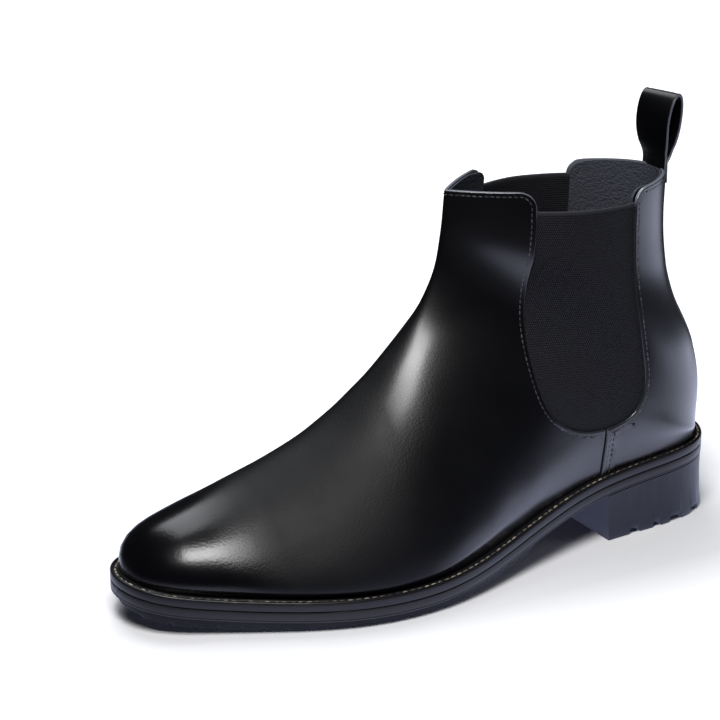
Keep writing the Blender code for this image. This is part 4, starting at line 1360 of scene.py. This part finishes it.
def rib_tree():
    """Ribs across woven elastic: rows pushed out along the face in a steady wave."""
    tree = new_tree("elastic_ribs", [
        ("Pitch", "NodeSocketFloat", 0.00105), ("Depth", "NodeSocketFloat", 0.00022),
        ("Top Band", "NodeSocketFloat", 0.0016), ("Finish", "NodeSocketMaterial", None)])
    n = Nodes(tree)
    given = n.add("NodeGroupInput").outputs
    run = n.add("GeometryNodeInputNamedAttribute", {"data_type": "FLOAT_VECTOR"},
                Name="run").outputs["Attribute"]
    parts = n.add("ShaderNodeSeparateXYZ", Vector=run).outputs
    phase = n.math("DIVIDE", parts["Z"], given["Pitch"])
    wave = n.math("ABSOLUTE", n.math("SINE", n.math("MULTIPLY", phase, math.pi)))
    below_band = n.math("GREATER_THAN", parts["Z"], given["Top Band"])
    push = n.math("MULTIPLY", n.math("MULTIPLY", wave, below_band), given["Depth"])
    normal = n.add("GeometryNodeInputNormal").outputs[0]
    moved = n.add("GeometryNodeSetPosition", Geometry=given["Geometry"],
                  Offset=n.scaled(normal, push))
    real = n.add("GeometryNodeRealizeInstances", Geometry=moved.outputs[0])
    finished = n.add("GeometryNodeSetMaterial", Geometry=real.outputs[0],
                     Material=given["Finish"])
    n.add("NodeGroupOutput", Geometry=finished.outputs[0])
    return tree


def grown(item, tree, name, **values):
    """Runs a tree on an object with these input values, and keeps the result as a mesh."""
    modifier = item.modifiers.new(tree.name, "NODES")
    modifier.node_group = tree
    for socket in tree.interface.items_tree:
        key = socket.name.replace(" ", "_")
        if socket.in_out == "INPUT" and key in values:
            modifier[socket.identifier] = values[key]
    depsgraph = bpy.context.evaluated_depsgraph_get()
    depsgraph.update()
    mesh = bpy.data.meshes.new_from_object(item.evaluated_get(depsgraph))
    mesh.name = name
    made = bpy.data.objects.new(name, mesh)
    bpy.context.scene.collection.objects.link(made)
    bpy.data.objects.remove(item, do_unlink=True)
    return made


def seam_path(name, runs):
    """Loose edges along each run of (points, normals), for the stitches to follow."""
    points = []
    normals = []
    edges = []
    for p, n in runs:
        start = len(points)
        points += list(p)
        normals += list(n)
        edges += [(i, i + 1) for i in range(start, len(points) - 1)]
    mesh = bpy.data.meshes.new(name)
    mesh.from_pydata(to_world(points).tolist(), edges, [])
    item = bpy.data.objects.new(name, mesh)
    bpy.context.scene.collection.objects.link(item)
    store(item, "face_up", to_world_direction(normals))
    return item


def inset_route(polygon, inset, keep):
    """Polygon's line moved inwards, the points that keep(t, z) accepts, in order."""
    p = np.asarray(polygon)
    dense = []
    for a, b in zip(p[:-1], p[1:]):
        count = max(1, int(np.linalg.norm(b - a) / 0.8))
        dense += [a + (b - a) * s for s in np.linspace(0, 1, count, endpoint=False)]
    dense = np.array(dense)
    ahead = unit(np.gradient(dense, axis=0))
    side = np.stack([-ahead[:, 1], ahead[:, 0]], 1)
    test = dense + side * 0.5
    flat = np.column_stack([0 * test[:, 0], test])
    side = np.where((polygon_distance(flat, polygon) > 0)[:, None], side, -side)
    moved = dense + side * inset
    flat = np.column_stack([0 * moved[:, 0], moved])
    good = polygon_distance(flat, polygon) > inset - 0.12
    good &= np.array([keep(t, z) for t, z in moved])
    return moved[good]


FINE_STITCH = {"Pitch": 0.0026, "Length": 0.0021, "Width": 0.00058, "Height": 0.0005,
               "Wander": 0.07}
RIDGE_FRONT = 142.0          # topline stitching ends here, at the crease


def make_seams(projector, tree, thread):
    """All the rows of black stitching on the upper."""
    rows = {}
    for side, word in ((1, "lateral"), (-1, "medial")):
        front = inset_route(VAMP_OUTLINE, SEAM_INSET,
                            lambda t, z: SIDE_SEAM + 1.2 < t < RIDGE_FRONT and z > 50)
        rear = inset_route(QUARTER_OUTLINE, SEAM_INSET,
                           lambda t, z: STRIP_FOOT > z > 54 and t < SIDE_SEAM - 1 or
                           (z >= STRIP_FOOT and 30.5 < t < SIDE_SEAM))
        low = float(feather_z(SIDE_SEAM)[0]) + 1.5
        heights = np.linspace(low, 53.5, 24)
        double = [np.column_stack([np.full(24, SIDE_SEAM - 0.15 - gap), heights])
                  for gap in (SEAM_INSET, 2 * SEAM_INSET + 0.4)]
        runs = [projector.along(front, side), projector.along(rear, side)]
        lifted = []
        for route in double:
            p, n = projector.along(route, side)
            lifted.append((p + n * 0.55, n))
        path = seam_path("seam_" + word, runs + lifted)
        rows[word] = grown(path, tree, "stitching_" + word, Lift=-0.00006, Seed=3,
                           Finish=thread, **FINE_STITCH)
    return rows


def strip_seams(projector, tree, thread):
    """Rows down both edges of the back strip."""
    runs = []
    heights = np.linspace(STRIP_FOOT + 1.6, BACK_TOP - 1.6, 140)
    for side in (1, -1):
        points = []
        normals = []
        for z in heights:
            hit = projector.tree.ray_cast(Vector((side * 6.3, -60, z)), Vector((0, 1, 0)))
            corners = projector.mesh.triangles[hit[2]]
            normals.append(unit(projector.mesh.normals[corners].mean(axis=0)))
            points.append(np.array(hit[0]) + normals[-1] * 1.15)
        runs.append((points, normals))
    path = seam_path("strip_seam", runs)
    return grown(path, tree, "back_strip_stitching", Lift=-0.0001, Seed=5, Finish=thread,
                 **FINE_STITCH)


def welt_seam(tree, thread):
    """Stitches in the groove of the welt, all the way round."""
    u = np.linspace(0, LOOP_RUN, 901)
    width = overhang(outline(u)[:, 1])
    edge = offset_outline(u, width * 0.5)
    top = MIDSOLE + GAP + WELT - 0.75
    points = np.column_stack([edge, sole_z(edge[:, 1]) + top])
    ahead = np.gradient(points, axis=0)
    across = np.cross(ahead, [0, 0, 1.0])
    normals = unit(np.cross(across, ahead))
    path = seam_path("welt_seam", [(points, normals)])
    return grown(path, tree, "welt_stitching", Pitch=0.0036, Length=0.0030,
                 Width=0.0012, Height=0.0010, Lift=0.0, Wander=0.10, Seed=11,
                 Finish=thread)


# ---- shader groups --------------------------------------------------------------------
def new_group(name, inputs, outputs):
    """Shader group with named sockets, and its nodes."""
    tree = bpy.data.node_groups.new(name, "ShaderNodeTree")
    for label, kind, value in inputs:
        socket = tree.interface.new_socket(label, in_out="INPUT", socket_type=kind)
        if value is not None:
            socket.default_value = value
    for label, kind in outputs:
        tree.interface.new_socket(label, in_out="OUTPUT", socket_type=kind)
    n = Nodes(tree)
    return n, n.add("NodeGroupInput").outputs


FLOAT = "NodeSocketFloat"
VECTOR = "NodeSocketVector"


def grain_group():
    """Fine pebbled grain of leather: raised cells, pores and a tone that drifts."""
    n, given = new_group("leather_grain", [
        ("Vector", VECTOR, None), ("Cells", FLOAT, 1400.0), ("Pores", FLOAT, 0.3),
        ("Drift", FLOAT, 22.0)], [("Height", FLOAT), ("Tone", FLOAT)])
    warp = n.add("ShaderNodeTexNoise", Vector=given["Vector"], Scale=260.0, Detail=2.0)
    shift = n.add("ShaderNodeVectorMath", {"operation": "MULTIPLY_ADD"})
    n.feed(shift, "0", warp.outputs["Color"])
    n.feed(shift, "1", (0.0009, 0.0009, 0.0009))
    n.feed(shift, "2", given["Vector"])
    cells = n.add("ShaderNodeTexVoronoi", {"feature": "SMOOTH_F1"},
                  Vector=shift.outputs[0], Scale=given["Cells"], Smoothness=0.6)
    pores = n.add("ShaderNodeTexNoise", Vector=given["Vector"], Scale=3800.0, Detail=3.0)
    raised = n.math("SUBTRACT", 1.0, cells.outputs["Distance"])
    height = n.math("ADD", raised, n.math("MULTIPLY", pores.outputs["Fac"], given["Pores"]))
    drift = n.add("ShaderNodeTexNoise", Vector=given["Vector"], Scale=given["Drift"],
                  Detail=4.0, Roughness=0.6)
    n.add("NodeGroupOutput", Height=height, Tone=drift.outputs["Fac"])
    return n.tree


def wear_group():
    """Mask that is 1 on a bare edge and breaks up a little way in."""
    n, given = new_group("edge_wear", [
        ("Vector", VECTOR, None), ("Edge", FLOAT, 1.0), ("Width", FLOAT, 0.6)],
        [("Mask", FLOAT)])
    rough = n.add("ShaderNodeTexNoise", Vector=given["Vector"], Scale=900.0, Detail=3.0)
    reach = n.math("MULTIPLY", given["Width"], n.math("ADD", rough.outputs["Fac"], 0.5))
    near = n.math("DIVIDE", given["Edge"], reach)
    mask = n.add("ShaderNodeMath", {"operation": "SUBTRACT", "use_clamp": True})
    n.feed(mask, "0", 1.0)
    n.feed(mask, "1", near)
    n.add("NodeGroupOutput", Mask=mask.outputs[0])
    return n.tree


def weave_group():
    """Woven cloth: warp lines crossed by weft, from two distances along the cloth."""
    n, given = new_group("close_weave", [
        ("Across", FLOAT, 0.0), ("Along", FLOAT, 0.0), ("Warp", FLOAT, 0.0006),
        ("Weft", FLOAT, 0.001), ("Vector", VECTOR, None)],
        [("Height", FLOAT), ("Tone", FLOAT)])
    warp = n.math("DIVIDE", n.math("MULTIPLY", given["Across"], math.pi), given["Warp"])
    weft = n.math("DIVIDE", n.math("MULTIPLY", given["Along"], math.pi), given["Weft"])
    step = n.math("MULTIPLY", n.math("FLOOR", n.math("DIVIDE", given["Along"],
                                                     given["Weft"])), math.pi / 2)
    lines = n.math("ABSOLUTE", n.math("SINE", n.math("ADD", warp, step)))
    ribs = n.math("ABSOLUTE", n.math("SINE", weft))
    height = n.math("MULTIPLY", lines, n.math("ADD", n.math("MULTIPLY", ribs, 0.6), 0.4))
    fuzz = n.add("ShaderNodeTexNoise", Vector=given["Vector"], Scale=1600.0, Detail=3.0)
    tone = n.math("ADD", n.math("MULTIPLY", height, 0.65),
                  n.math("MULTIPLY", fuzz.outputs["Fac"], 0.5))
    n.add("NodeGroupOutput", Height=height, Tone=tone)
    return n.tree


# ---- materials ------------------------------------------------------------------------
class Finish(Nodes):
    """A material being built: its shader, object coordinates and helpers."""

    def __init__(self, name, roughness, colour=(0.02, 0.02, 0.02), metallic=0.0, **constants):
        self.material = bpy.data.materials.new(name)
        self.material.use_nodes = True
        super().__init__(self.material.node_tree)
        self.shader = self.tree.nodes["Principled BSDF"]
        self.shader.inputs["Base Color"].default_value = (*colour, 1)
        self.shader.inputs["Roughness"].default_value = roughness
        self.shader.inputs["Metallic"].default_value = metallic
        for key, value in constants.items():
            self.shader.inputs[key.replace("_", " ")].default_value = value
        self.material.diffuse_color = (*colour, 1)
        self.place = self.add("ShaderNodeTexCoord").outputs["Object"]

    def group(self, tree, **inputs):
        node = self.add("ShaderNodeGroup", {"node_tree": tree})
        for key, value in inputs.items():
            self.feed(node, key, value)
        return node.outputs

    def read(self, name):
        return self.add("ShaderNodeAttribute", {"attribute_name": name}).outputs

    def mapped(self, value, low, high, to_low, to_high):
        node = self.add("ShaderNodeMapRange", Value=value)
        for key, number in (("From Min", low), ("From Max", high), ("To Min", to_low),
                            ("To Max", to_high)):
            self.feed(node, key, number)
        return node.outputs["Result"]

    def mix(self, factor, a, b):
        node = self.add("ShaderNodeMix", {"data_type": "RGBA"})
        self.feed(node, "0", factor)
        self.feed(node, "6", a if isinstance(a, bpy.types.NodeSocket) else (*a, 1))
        self.feed(node, "7", b if isinstance(b, bpy.types.NodeSocket) else (*b, 1))
        return node.outputs[2]

    def beyond(self, value, limit):
        """How far a coordinate lies outside plus or minus the limit."""
        return self.math("MAXIMUM", self.math("SUBTRACT", self.math("ABSOLUTE", value),
                                              limit), 0.0)

    def bump(self, height, strength, distance):
        node = self.add("ShaderNodeBump", Height=height, Strength=strength,
                        Distance=distance)
        self.tree.links.new(node.outputs[0], self.shader.inputs["Normal"])

    def to(self, socket, value):
        self.tree.links.new(value, self.shader.inputs[socket])


def black_leather(groups, name, cells, depth, rough, edge_tone, polish=True):
    """Polished black leather: fine grain, drifting gloss, paler bare edges."""
    f = Finish(name, rough, (0.002, 0.002, 0.003), Coat_Weight=0.3, Coat_Roughness=0.24,
               Coat_IOR=1.5, Specular_IOR_Level=0.22)
    grain = f.group(groups["grain"], Vector=f.place, Cells=cells)
    worn = f.group(groups["wear"], Vector=f.place, Edge=f.read("edge")["Fac"],
                   Width=0.55)["Mask"]
    where = f.add("ShaderNodeSeparateXYZ", Vector=f.place).outputs
    high = f.mapped(where["Z"], 0.158, 0.163, 0.12, 1.0)
    worn = f.math("MULTIPLY", worn, high)
    tone = f.mix(grain["Tone"], (0.0006, 0.0006, 0.0009), (0.0022, 0.0022, 0.0032))
    f.to("Base Color", f.mix(worn, tone, edge_tone))
    gloss = f.mapped(grain["Tone"], 0.3, 0.7, rough - 0.04, rough + 0.05)
    if polish:
        dull = f.mapped(where["Y"], -0.040, -0.012, 0.20, 0.0)
        waxed = f.mapped(where["Y"], -0.118, -0.09, 0.38, 0.0)
        gloss = f.math("SUBTRACT", f.math("ADD", gloss, dull), waxed)
        instep = f.mapped(where["Y"], -0.030, 0.0, 0.0, 1.0)
        toe = f.mapped(where["Y"], -0.12, -0.10, 0.35, 0.0)
        f.to("Coat Weight", f.math("MAXIMUM", instep, toe))
    f.to("Roughness", f.math("ADD", gloss, f.math("MULTIPLY", worn, 0.15)))
    f.bump(grain["Height"], depth, 0.00006)
    return f.material


def elastic(groups):
    f = Finish("gore_elastic_weave", 0.62, (0.006, 0.006, 0.007), Sheen_Weight=0.02,
               Sheen_Roughness=0.4, Specular_IOR_Level=0.16)
    run = f.add("ShaderNodeSeparateXYZ", Vector=f.read("run")["Vector"]).outputs
    weave = f.group(groups["weave"], Across=run["X"], Along=run["Z"], Warp=0.0009,
                    Weft=0.00105, Vector=f.place)
    band = f.mapped(run["Z"], 0.0012, 0.0016, 1.0, 0.0)
    lifted = f.mapped(weave["Tone"], 0.35, 0.85, 0.0, 1.0)
    cloth = f.mix(lifted, (0.0003, 0.0003, 0.0005), (0.026, 0.026, 0.031))
    f.to("Base Color", f.mix(band, cloth, (0.03, 0.03, 0.036)))
    f.to("Roughness", f.mapped(weave["Tone"], 0.1, 0.9, 0.5, 0.72))
    f.bump(weave["Height"], 1.0, 0.0002)
    return f.material


def thread_finish(name, dark, pale, patch_scale):
    """Waxed thread with a fine twist; its tone changes from stitch to stitch."""
    f = Finish(name, 0.5, dark, Sheen_Weight=0.2)
    patch = f.add("ShaderNodeTexNoise", Vector=f.place, Scale=patch_scale, Detail=1.0)
    twist = f.add("ShaderNodeTexWave", Vector=f.place, Scale=900.0, Distortion=1.5)
    picked = f.mapped(patch.outputs["Fac"], 0.42, 0.62, 0.0, 1.0)
    tone = f.mix(picked, dark, pale)
    shaded = f.mix(f.math("MULTIPLY", twist.outputs["Fac"], 0.4), tone, (0.01, 0.01, 0.01))
    f.to("Base Color", shaded)
    f.to("Roughness", f.mapped(twist.outputs["Fac"], 0.0, 1.0, 0.42, 0.6))
    f.bump(twist.outputs["Fac"], 0.4, 0.0001)
    return f.material


def sole_edge(groups, name, striped):
    """Dyed sole edge: fine lines along it and a low wax shine."""
    f = Finish(name, 0.4, (0.01, 0.008, 0.008), Coat_Weight=0.12, Coat_Roughness=0.25,
               Specular_IOR_Level=0.3)
    stretch = f.add("ShaderNodeMapping", Vector=f.place)
    stretch.inputs["Scale"].default_value = (14.0, 14.0, 1600.0)
    lines = f.add("ShaderNodeTexNoise", Vector=stretch.outputs[0], Scale=1.0, Detail=4.0,
                  Roughness=0.7)
    grain = f.group(groups["grain"], Vector=f.place, Cells=700.0)
    tone = f.mix(lines.outputs["Fac"], (0.002, 0.0015, 0.002), striped)
    f.to("Base Color", tone)
    f.to("Roughness", f.mapped(lines.outputs["Fac"], 0.3, 0.7, 0.32, 0.5))
    f.bump(f.math("ADD", lines.outputs["Fac"], f.math("MULTIPLY", grain["Height"], 0.2)),
           0.5, 0.00012)
    return f.material


def moulded_rubber(groups, name, colour, rough, depth):
    """Moulded rubber: fine even texture, faint mottling."""
    f = Finish(name, rough, colour, Coat_Weight=0.12, Coat_Roughness=0.3,
               Specular_IOR_Level=0.25)
    grain = f.group(groups["grain"], Vector=f.place, Cells=2400.0, Drift=60.0)
    pale = tuple(c * 1.7 for c in colour)
    f.to("Base Color", f.mix(grain["Tone"], colour, pale))
    f.to("Roughness", f.mapped(grain["Tone"], 0.3, 0.7, rough - 0.06, rough + 0.06))
    f.bump(grain["Height"], depth, 0.00005)
    return f.material


def lining_leather(groups, name, colour):
    """Soft unpolished leather with an open grain."""
    f = Finish(name, 0.5, colour, Sheen_Weight=0.0, Specular_IOR_Level=0.12)
    grain = f.group(groups["grain"], Vector=f.place, Cells=900.0, Pores=0.6, Drift=70.0)
    worn = f.group(groups["wear"], Vector=f.place, Edge=f.read("edge")["Fac"],
                   Width=0.5)["Mask"]
    pale = tuple(c * 5 for c in colour)
    tone = f.mix(f.mapped(grain["Height"], 0.5, 1.1, 0.0, 1.0), colour, pale)
    f.to("Base Color", f.mix(worn, tone, (0.06, 0.065, 0.08)))
    f.to("Roughness", f.mapped(grain["Tone"], 0.3, 0.7, 0.42, 0.58))
    f.bump(grain["Height"], 1.0, 0.0005)
    return f.material


def speckled(name, dark, pale, rough, scale):
    """Board, cork or foam inside the sole: grains of two tones."""
    f = Finish(name, rough, dark)
    cells = f.add("ShaderNodeTexVoronoi", Vector=f.place, Scale=scale)
    tone = f.mix(cells.outputs["Distance"], dark, pale)
    f.to("Base Color", tone)
    f.to("Roughness", f.mapped(cells.outputs["Distance"], 0.0, 1.0, rough - 0.1, rough))
    f.bump(cells.outputs["Distance"], 0.6, 0.0003)
    return f.material


def brushed_steel():
    f = Finish("brushed_steel", 0.35, (0.55, 0.55, 0.56), 1.0)
    stretch = f.add("ShaderNodeMapping", Vector=f.place)
    stretch.inputs["Scale"].default_value = (3000.0, 60.0, 60.0)
    lines = f.add("ShaderNodeTexNoise", Vector=stretch.outputs[0], Scale=1.0, Detail=2.0)
    f.to("Roughness", f.mapped(lines.outputs["Fac"], 0.0, 1.0, 0.25, 0.45))
    f.bump(lines.outputs["Fac"], 0.2, 0.00005)
    return f.material


def make_finishes():
    groups = {"grain": grain_group(), "wear": wear_group(), "weave": weave_group()}
    return {
        "upper": black_leather(groups, "polished_leather", 950.0, 0.8, 0.34,
                               (0.16, 0.17, 0.20)),
        "tab": black_leather(groups, "tab_leather", 1700.0, 0.2, 0.36, (0.14, 0.15, 0.18),
                             polish=False),
        "elastic": elastic(groups),
        "black_thread": thread_finish("black_thread", (0.012, 0.012, 0.013),
                                      (0.10, 0.10, 0.11), 300.0),
        "welt_thread": thread_finish("welt_thread", (0.03, 0.027, 0.025),
                                     (0.50, 0.43, 0.33), 260.0),
        "welt": sole_edge(groups, "welt_edge", (0.004, 0.0035, 0.0045)),
        "edge": sole_edge(groups, "midsole_edge", (0.012, 0.0095, 0.0105)),
        "rubber": moulded_rubber(groups, "sole_rubber", (0.0012, 0.0012, 0.002), 0.7, 0.3),
        "heel": moulded_rubber(groups, "heel_rubber", (0.0020, 0.0027, 0.0065), 0.42, 0.12),
        "lining": lining_leather(groups, "lining_leather", (0.0004, 0.0005, 0.0012)),
        "board": speckled("fibre_board", (0.30, 0.22, 0.14), (0.45, 0.36, 0.25),
                          0.85, 500.0),
        "cork": speckled("cork", (0.22, 0.12, 0.05), (0.55, 0.36, 0.20), 0.9,
                         380.0),
        "foam": speckled("foam", (0.42, 0.40, 0.34), (0.55, 0.53, 0.46), 0.9,
                         900.0),
        "steel": brushed_steel(),
    }


def wear_finish(item, material):
    item.data.materials.clear()
    item.data.materials.append(material)


# ---- floor, lights and camera ---------------------------------------------------------
FLOOR_HALF = 30.0            # metres
FLOOR_WHITE = (0.90, 0.90, 0.92)
# Painted reflection: glow colours that only the boot's mirror image of the floor shows, a pool
# round the boot and a brighter one behind it.
POOL = (0.62, 0.68, 1.05)
POOL_BEHIND = (1.05, 1.12, 1.45)
POOL_BEHIND_PLACE = (0.06, 0.52, 0.0)
BOOT_HALF = (0.038, 0.138)   # the boot's footprint, round which the seen floor's glow fades as a painted shadow


def make_floor():
    """White sheet that glows, though it is no lamp. Seen directly, it glows everywhere but
    close to the boot, where the glow fades out as a painted shadow and only the lamps light
    it and the boot's shadow shows. What the boot mirrors of it is painted reflection: a
    pale glowing pool round the boot and another one behind it, as from a small lit table,
    on an otherwise almost black floor."""
    mesh = bpy.data.meshes.new("studio_floor")
    size = FLOOR_HALF
    low = -0.0002
    mesh.from_pydata([(-size, -size, low), (size, -size, low), (size, size, low),
                      (-size, size, low)], [], [(0, 1, 2, 3)])
    floor = bpy.data.objects.new("studio_floor", mesh)
    bpy.context.scene.collection.objects.link(floor)
    f = Finish("studio_floor", 0.7, (0.85, 0.85, 0.86), Emission_Strength=1.0)
    placed = f.add("ShaderNodeMapping", Vector=f.place)
    placed.inputs["Location"].default_value = (0.0, -0.05, 0.0)
    placed.inputs["Scale"].default_value = (1.15, 0.9, 1.0)
    far = f.add("ShaderNodeVectorMath", {"operation": "LENGTH"})
    f.feed(far, "0", placed.outputs[0])
    near = f.mapped(far.outputs["Value"], 0.15, 0.31, 1.0, 0.0)
    behind = f.add("ShaderNodeVectorMath", {"operation": "DISTANCE"})
    f.feed(behind, "0", f.place)
    f.feed(behind, "1", POOL_BEHIND_PLACE)
    glow = f.mapped(behind.outputs["Value"], 0.14, 0.30, 1.0, 0.0)
    seen = f.add("ShaderNodeLightPath").outputs["Is Camera Ray"]
    close = f.mix(near, (0.0, 0.0, 0.0), POOL)
    mirrored = f.mix(glow, close, POOL_BEHIND)
    # Painted shadow: the glow seen directly is none within 2 cm of the boot's footprint, rises
    # to 0.55 by 10 cm, and grows further far out.
    where = f.add("ShaderNodeSeparateXYZ", Vector=f.place).outputs
    beside = f.beyond(where["X"], BOOT_HALF[0])
    ahead = f.beyond(where["Y"], BOOT_HALF[1])
    clear = f.math("SQRT", f.math("ADD", f.math("MULTIPLY", beside, beside),
                                  f.math("MULTIPLY", ahead, ahead)))
    seen_glow = f.math("ADD", f.mapped(clear, 0.02, 0.10, 0.0, 0.55),
                   f.mapped(clear, 0.25, 1.5, 0.0, 0.6))
    plain = f.mix(seen_glow, (0.0, 0.0, 0.0), (1.0, 1.0, 1.0))
    f.to("Emission Color", f.mix(seen, mirrored, plain))
    # Painted reflection: for rays other than the camera's the floor's own colour is pale near
    # the boot and almost black away from it.
    lit = f.mix(near, (0.01, 0.01, 0.01), (0.5, 0.5, 0.52))
    f.to("Base Color", f.mix(seen, lit, FLOOR_WHITE))
    wear_finish(floor, f.material)


def softbox(name, azimuth, elevation, distance, width, height, power, colour=(1, 1, 1)):
    """Rectangular light aimed at the boot; azimuth turns from +X towards +Y."""
    turn = math.radians(azimuth)
    rise = math.radians(elevation)
    middle = Vector((0.0, -0.03, 0.07))
    away = Vector((math.cos(turn) * math.cos(rise), math.sin(turn) * math.cos(rise),
                   math.sin(rise)))
    light = bpy.data.lights.new(name, "AREA")
    light.shape = "RECTANGLE"
    light.size = width
    light.size_y = height
    light.energy = power
    light.color = colour
    item = bpy.data.objects.new(name, light)
    item.location = middle + away * distance
    item.rotation_euler = (-away).to_track_quat("-Z", "Y").to_euler()
    bpy.context.scene.collection.objects.link(item)


def make_lights():
    softbox("key", -38, 60, 1.25, 0.50, 0.42, 15)
    softbox("overhead", 175, 62, 1.6, 1.0, 1.2, 15.5, (0.93, 0.96, 1.0))
    softbox("fill", 60, 35, 1.8, 0.5, 0.8, 1.2, (0.9, 0.94, 1.0))
    world = bpy.data.worlds.new("studio")
    world.use_nodes = True
    scene = bpy.context.scene
    scene.world = world
    scene.view_settings.view_transform = "Standard"
    n = Nodes(world.node_tree)
    shader = world.node_tree.nodes["Background"]
    ray = n.add("ShaderNodeLightPath").outputs["Is Camera Ray"]
    tone = n.add("ShaderNodeMix", {"data_type": "RGBA"})
    n.feed(tone, "0", ray)
    n.feed(tone, "6", (0.020, 0.021, 0.025, 1))
    n.feed(tone, "7", (1.0, 1.0, 1.0, 1))
    n.tree.links.new(tone.outputs[2], shader.inputs["Color"])


CAMERA_TURN = 59.8           # degrees from straight ahead of the toe
CAMERA_RISE = 20.8
CAMERA_DISTANCE = 1.241
CAMERA_LENS = 140.55
CAMERA_AIM = (184, 100)      # t and z


def make_camera():
    azimuth = math.radians(CAMERA_TURN)
    elevation = math.radians(CAMERA_RISE)
    distance = CAMERA_DISTANCE
    target = Vector((ORIGIN[0], ORIGIN[1] - CAMERA_AIM[0] * MM, CAMERA_AIM[1] * MM))
    away = Vector((math.sin(azimuth) * math.cos(elevation),
                   -math.cos(azimuth) * math.cos(elevation), math.sin(elevation)))
    camera = bpy.data.cameras.new("camera")
    camera.sensor_width = 36
    camera.lens = CAMERA_LENS
    camera.clip_end = 100
    item = bpy.data.objects.new("camera", camera)
    item.location = target + away * distance
    item.rotation_euler = (-away).to_track_quat("-Z", "Y").to_euler()
    bpy.context.scene.collection.objects.link(item)
    bpy.context.scene.camera = item


# ---- assembly -------------------------------------------------------------------------
def stand_for(item, material, slot, *nodes, body="boot"):
    """Finish a piece, and let it replace its CAD nodes and ride with their body."""
    wear_finish(item, material)
    if nodes:
        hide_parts(*nodes)
    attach(item, body)


def build():
    looks = make_finishes()
    stitches = stitch_tree()
    ribs = rib_tree()
    base = make_base(96, 44)
    projector = Projector(base)
    upper = make_upper(base)
    for node, item in upper.items():
        stand_for(item, looks["upper"], "black_leather", node)
    front, rear = make_linings(base)
    stand_for(front, looks["lining"], "lining_leather", "vamp_lining")
    stand_for(rear, looks["lining"], "lining_leather", "quarter_lining")
    seams = make_seams(projector, stitches, looks["black_thread"])
    for side, word in ((1, "lateral"), (-1, "medial")):
        sheet = make_gore(projector, side, word)
        ribbed = grown(sheet, ribs, f"gore_{word}_elastic", Finish=looks["elastic"])
        stand_for(ribbed, looks["elastic"], "gore_elastic", "gore_" + word)
        stand_for(seams[word], looks["black_thread"], "thread_black", "gore_seam_" + word,
                  "side_seam_" + word)
    stand_for(strip_seams(projector, stitches, looks["black_thread"]),
              looks["black_thread"], "thread_black")
    stand_for(make_welt(), looks["welt"], "sole_edge", "welt")
    stand_for(welt_seam(stitches, looks["welt_thread"]), looks["welt_thread"],
              "thread_gold", "welt_stitch")
    stand_for(make_midsole(), looks["edge"], "sole_edge", "midsole")
    rubber, lugs = make_rubber()
    stand_for(rubber, looks["rubber"], "sole_rubber", "rubber_forepart")
    stand_for(lugs, looks["rubber"], "sole_rubber")
    stand_for(make_heel(), looks["heel"], "sole_rubber", "heel_block")
    stand_for(make_sock(), looks["lining"], "lining_leather", "sock_liner")
    tab = make_tab()
    wear_finish(tab, looks["tab"])
    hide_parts("pull_tab")
    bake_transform(tab)
    hidden = {"toe_puff": "board", "heel_counter": "board", "insole_board": "board",
              "heel_seat_board": "board", "heel_pad": "foam", "cork_filler": "cork",
              "shank": "steel"}
    for number in range(1, 6):
        hidden[f"heel_nail_{number}"] = "steel"
    for node, look in hidden.items():
        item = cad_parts[node]
        item.data.materials.clear()
        item.data.materials.append(looks[look])


build()
make_floor()
make_lights()
make_camera()
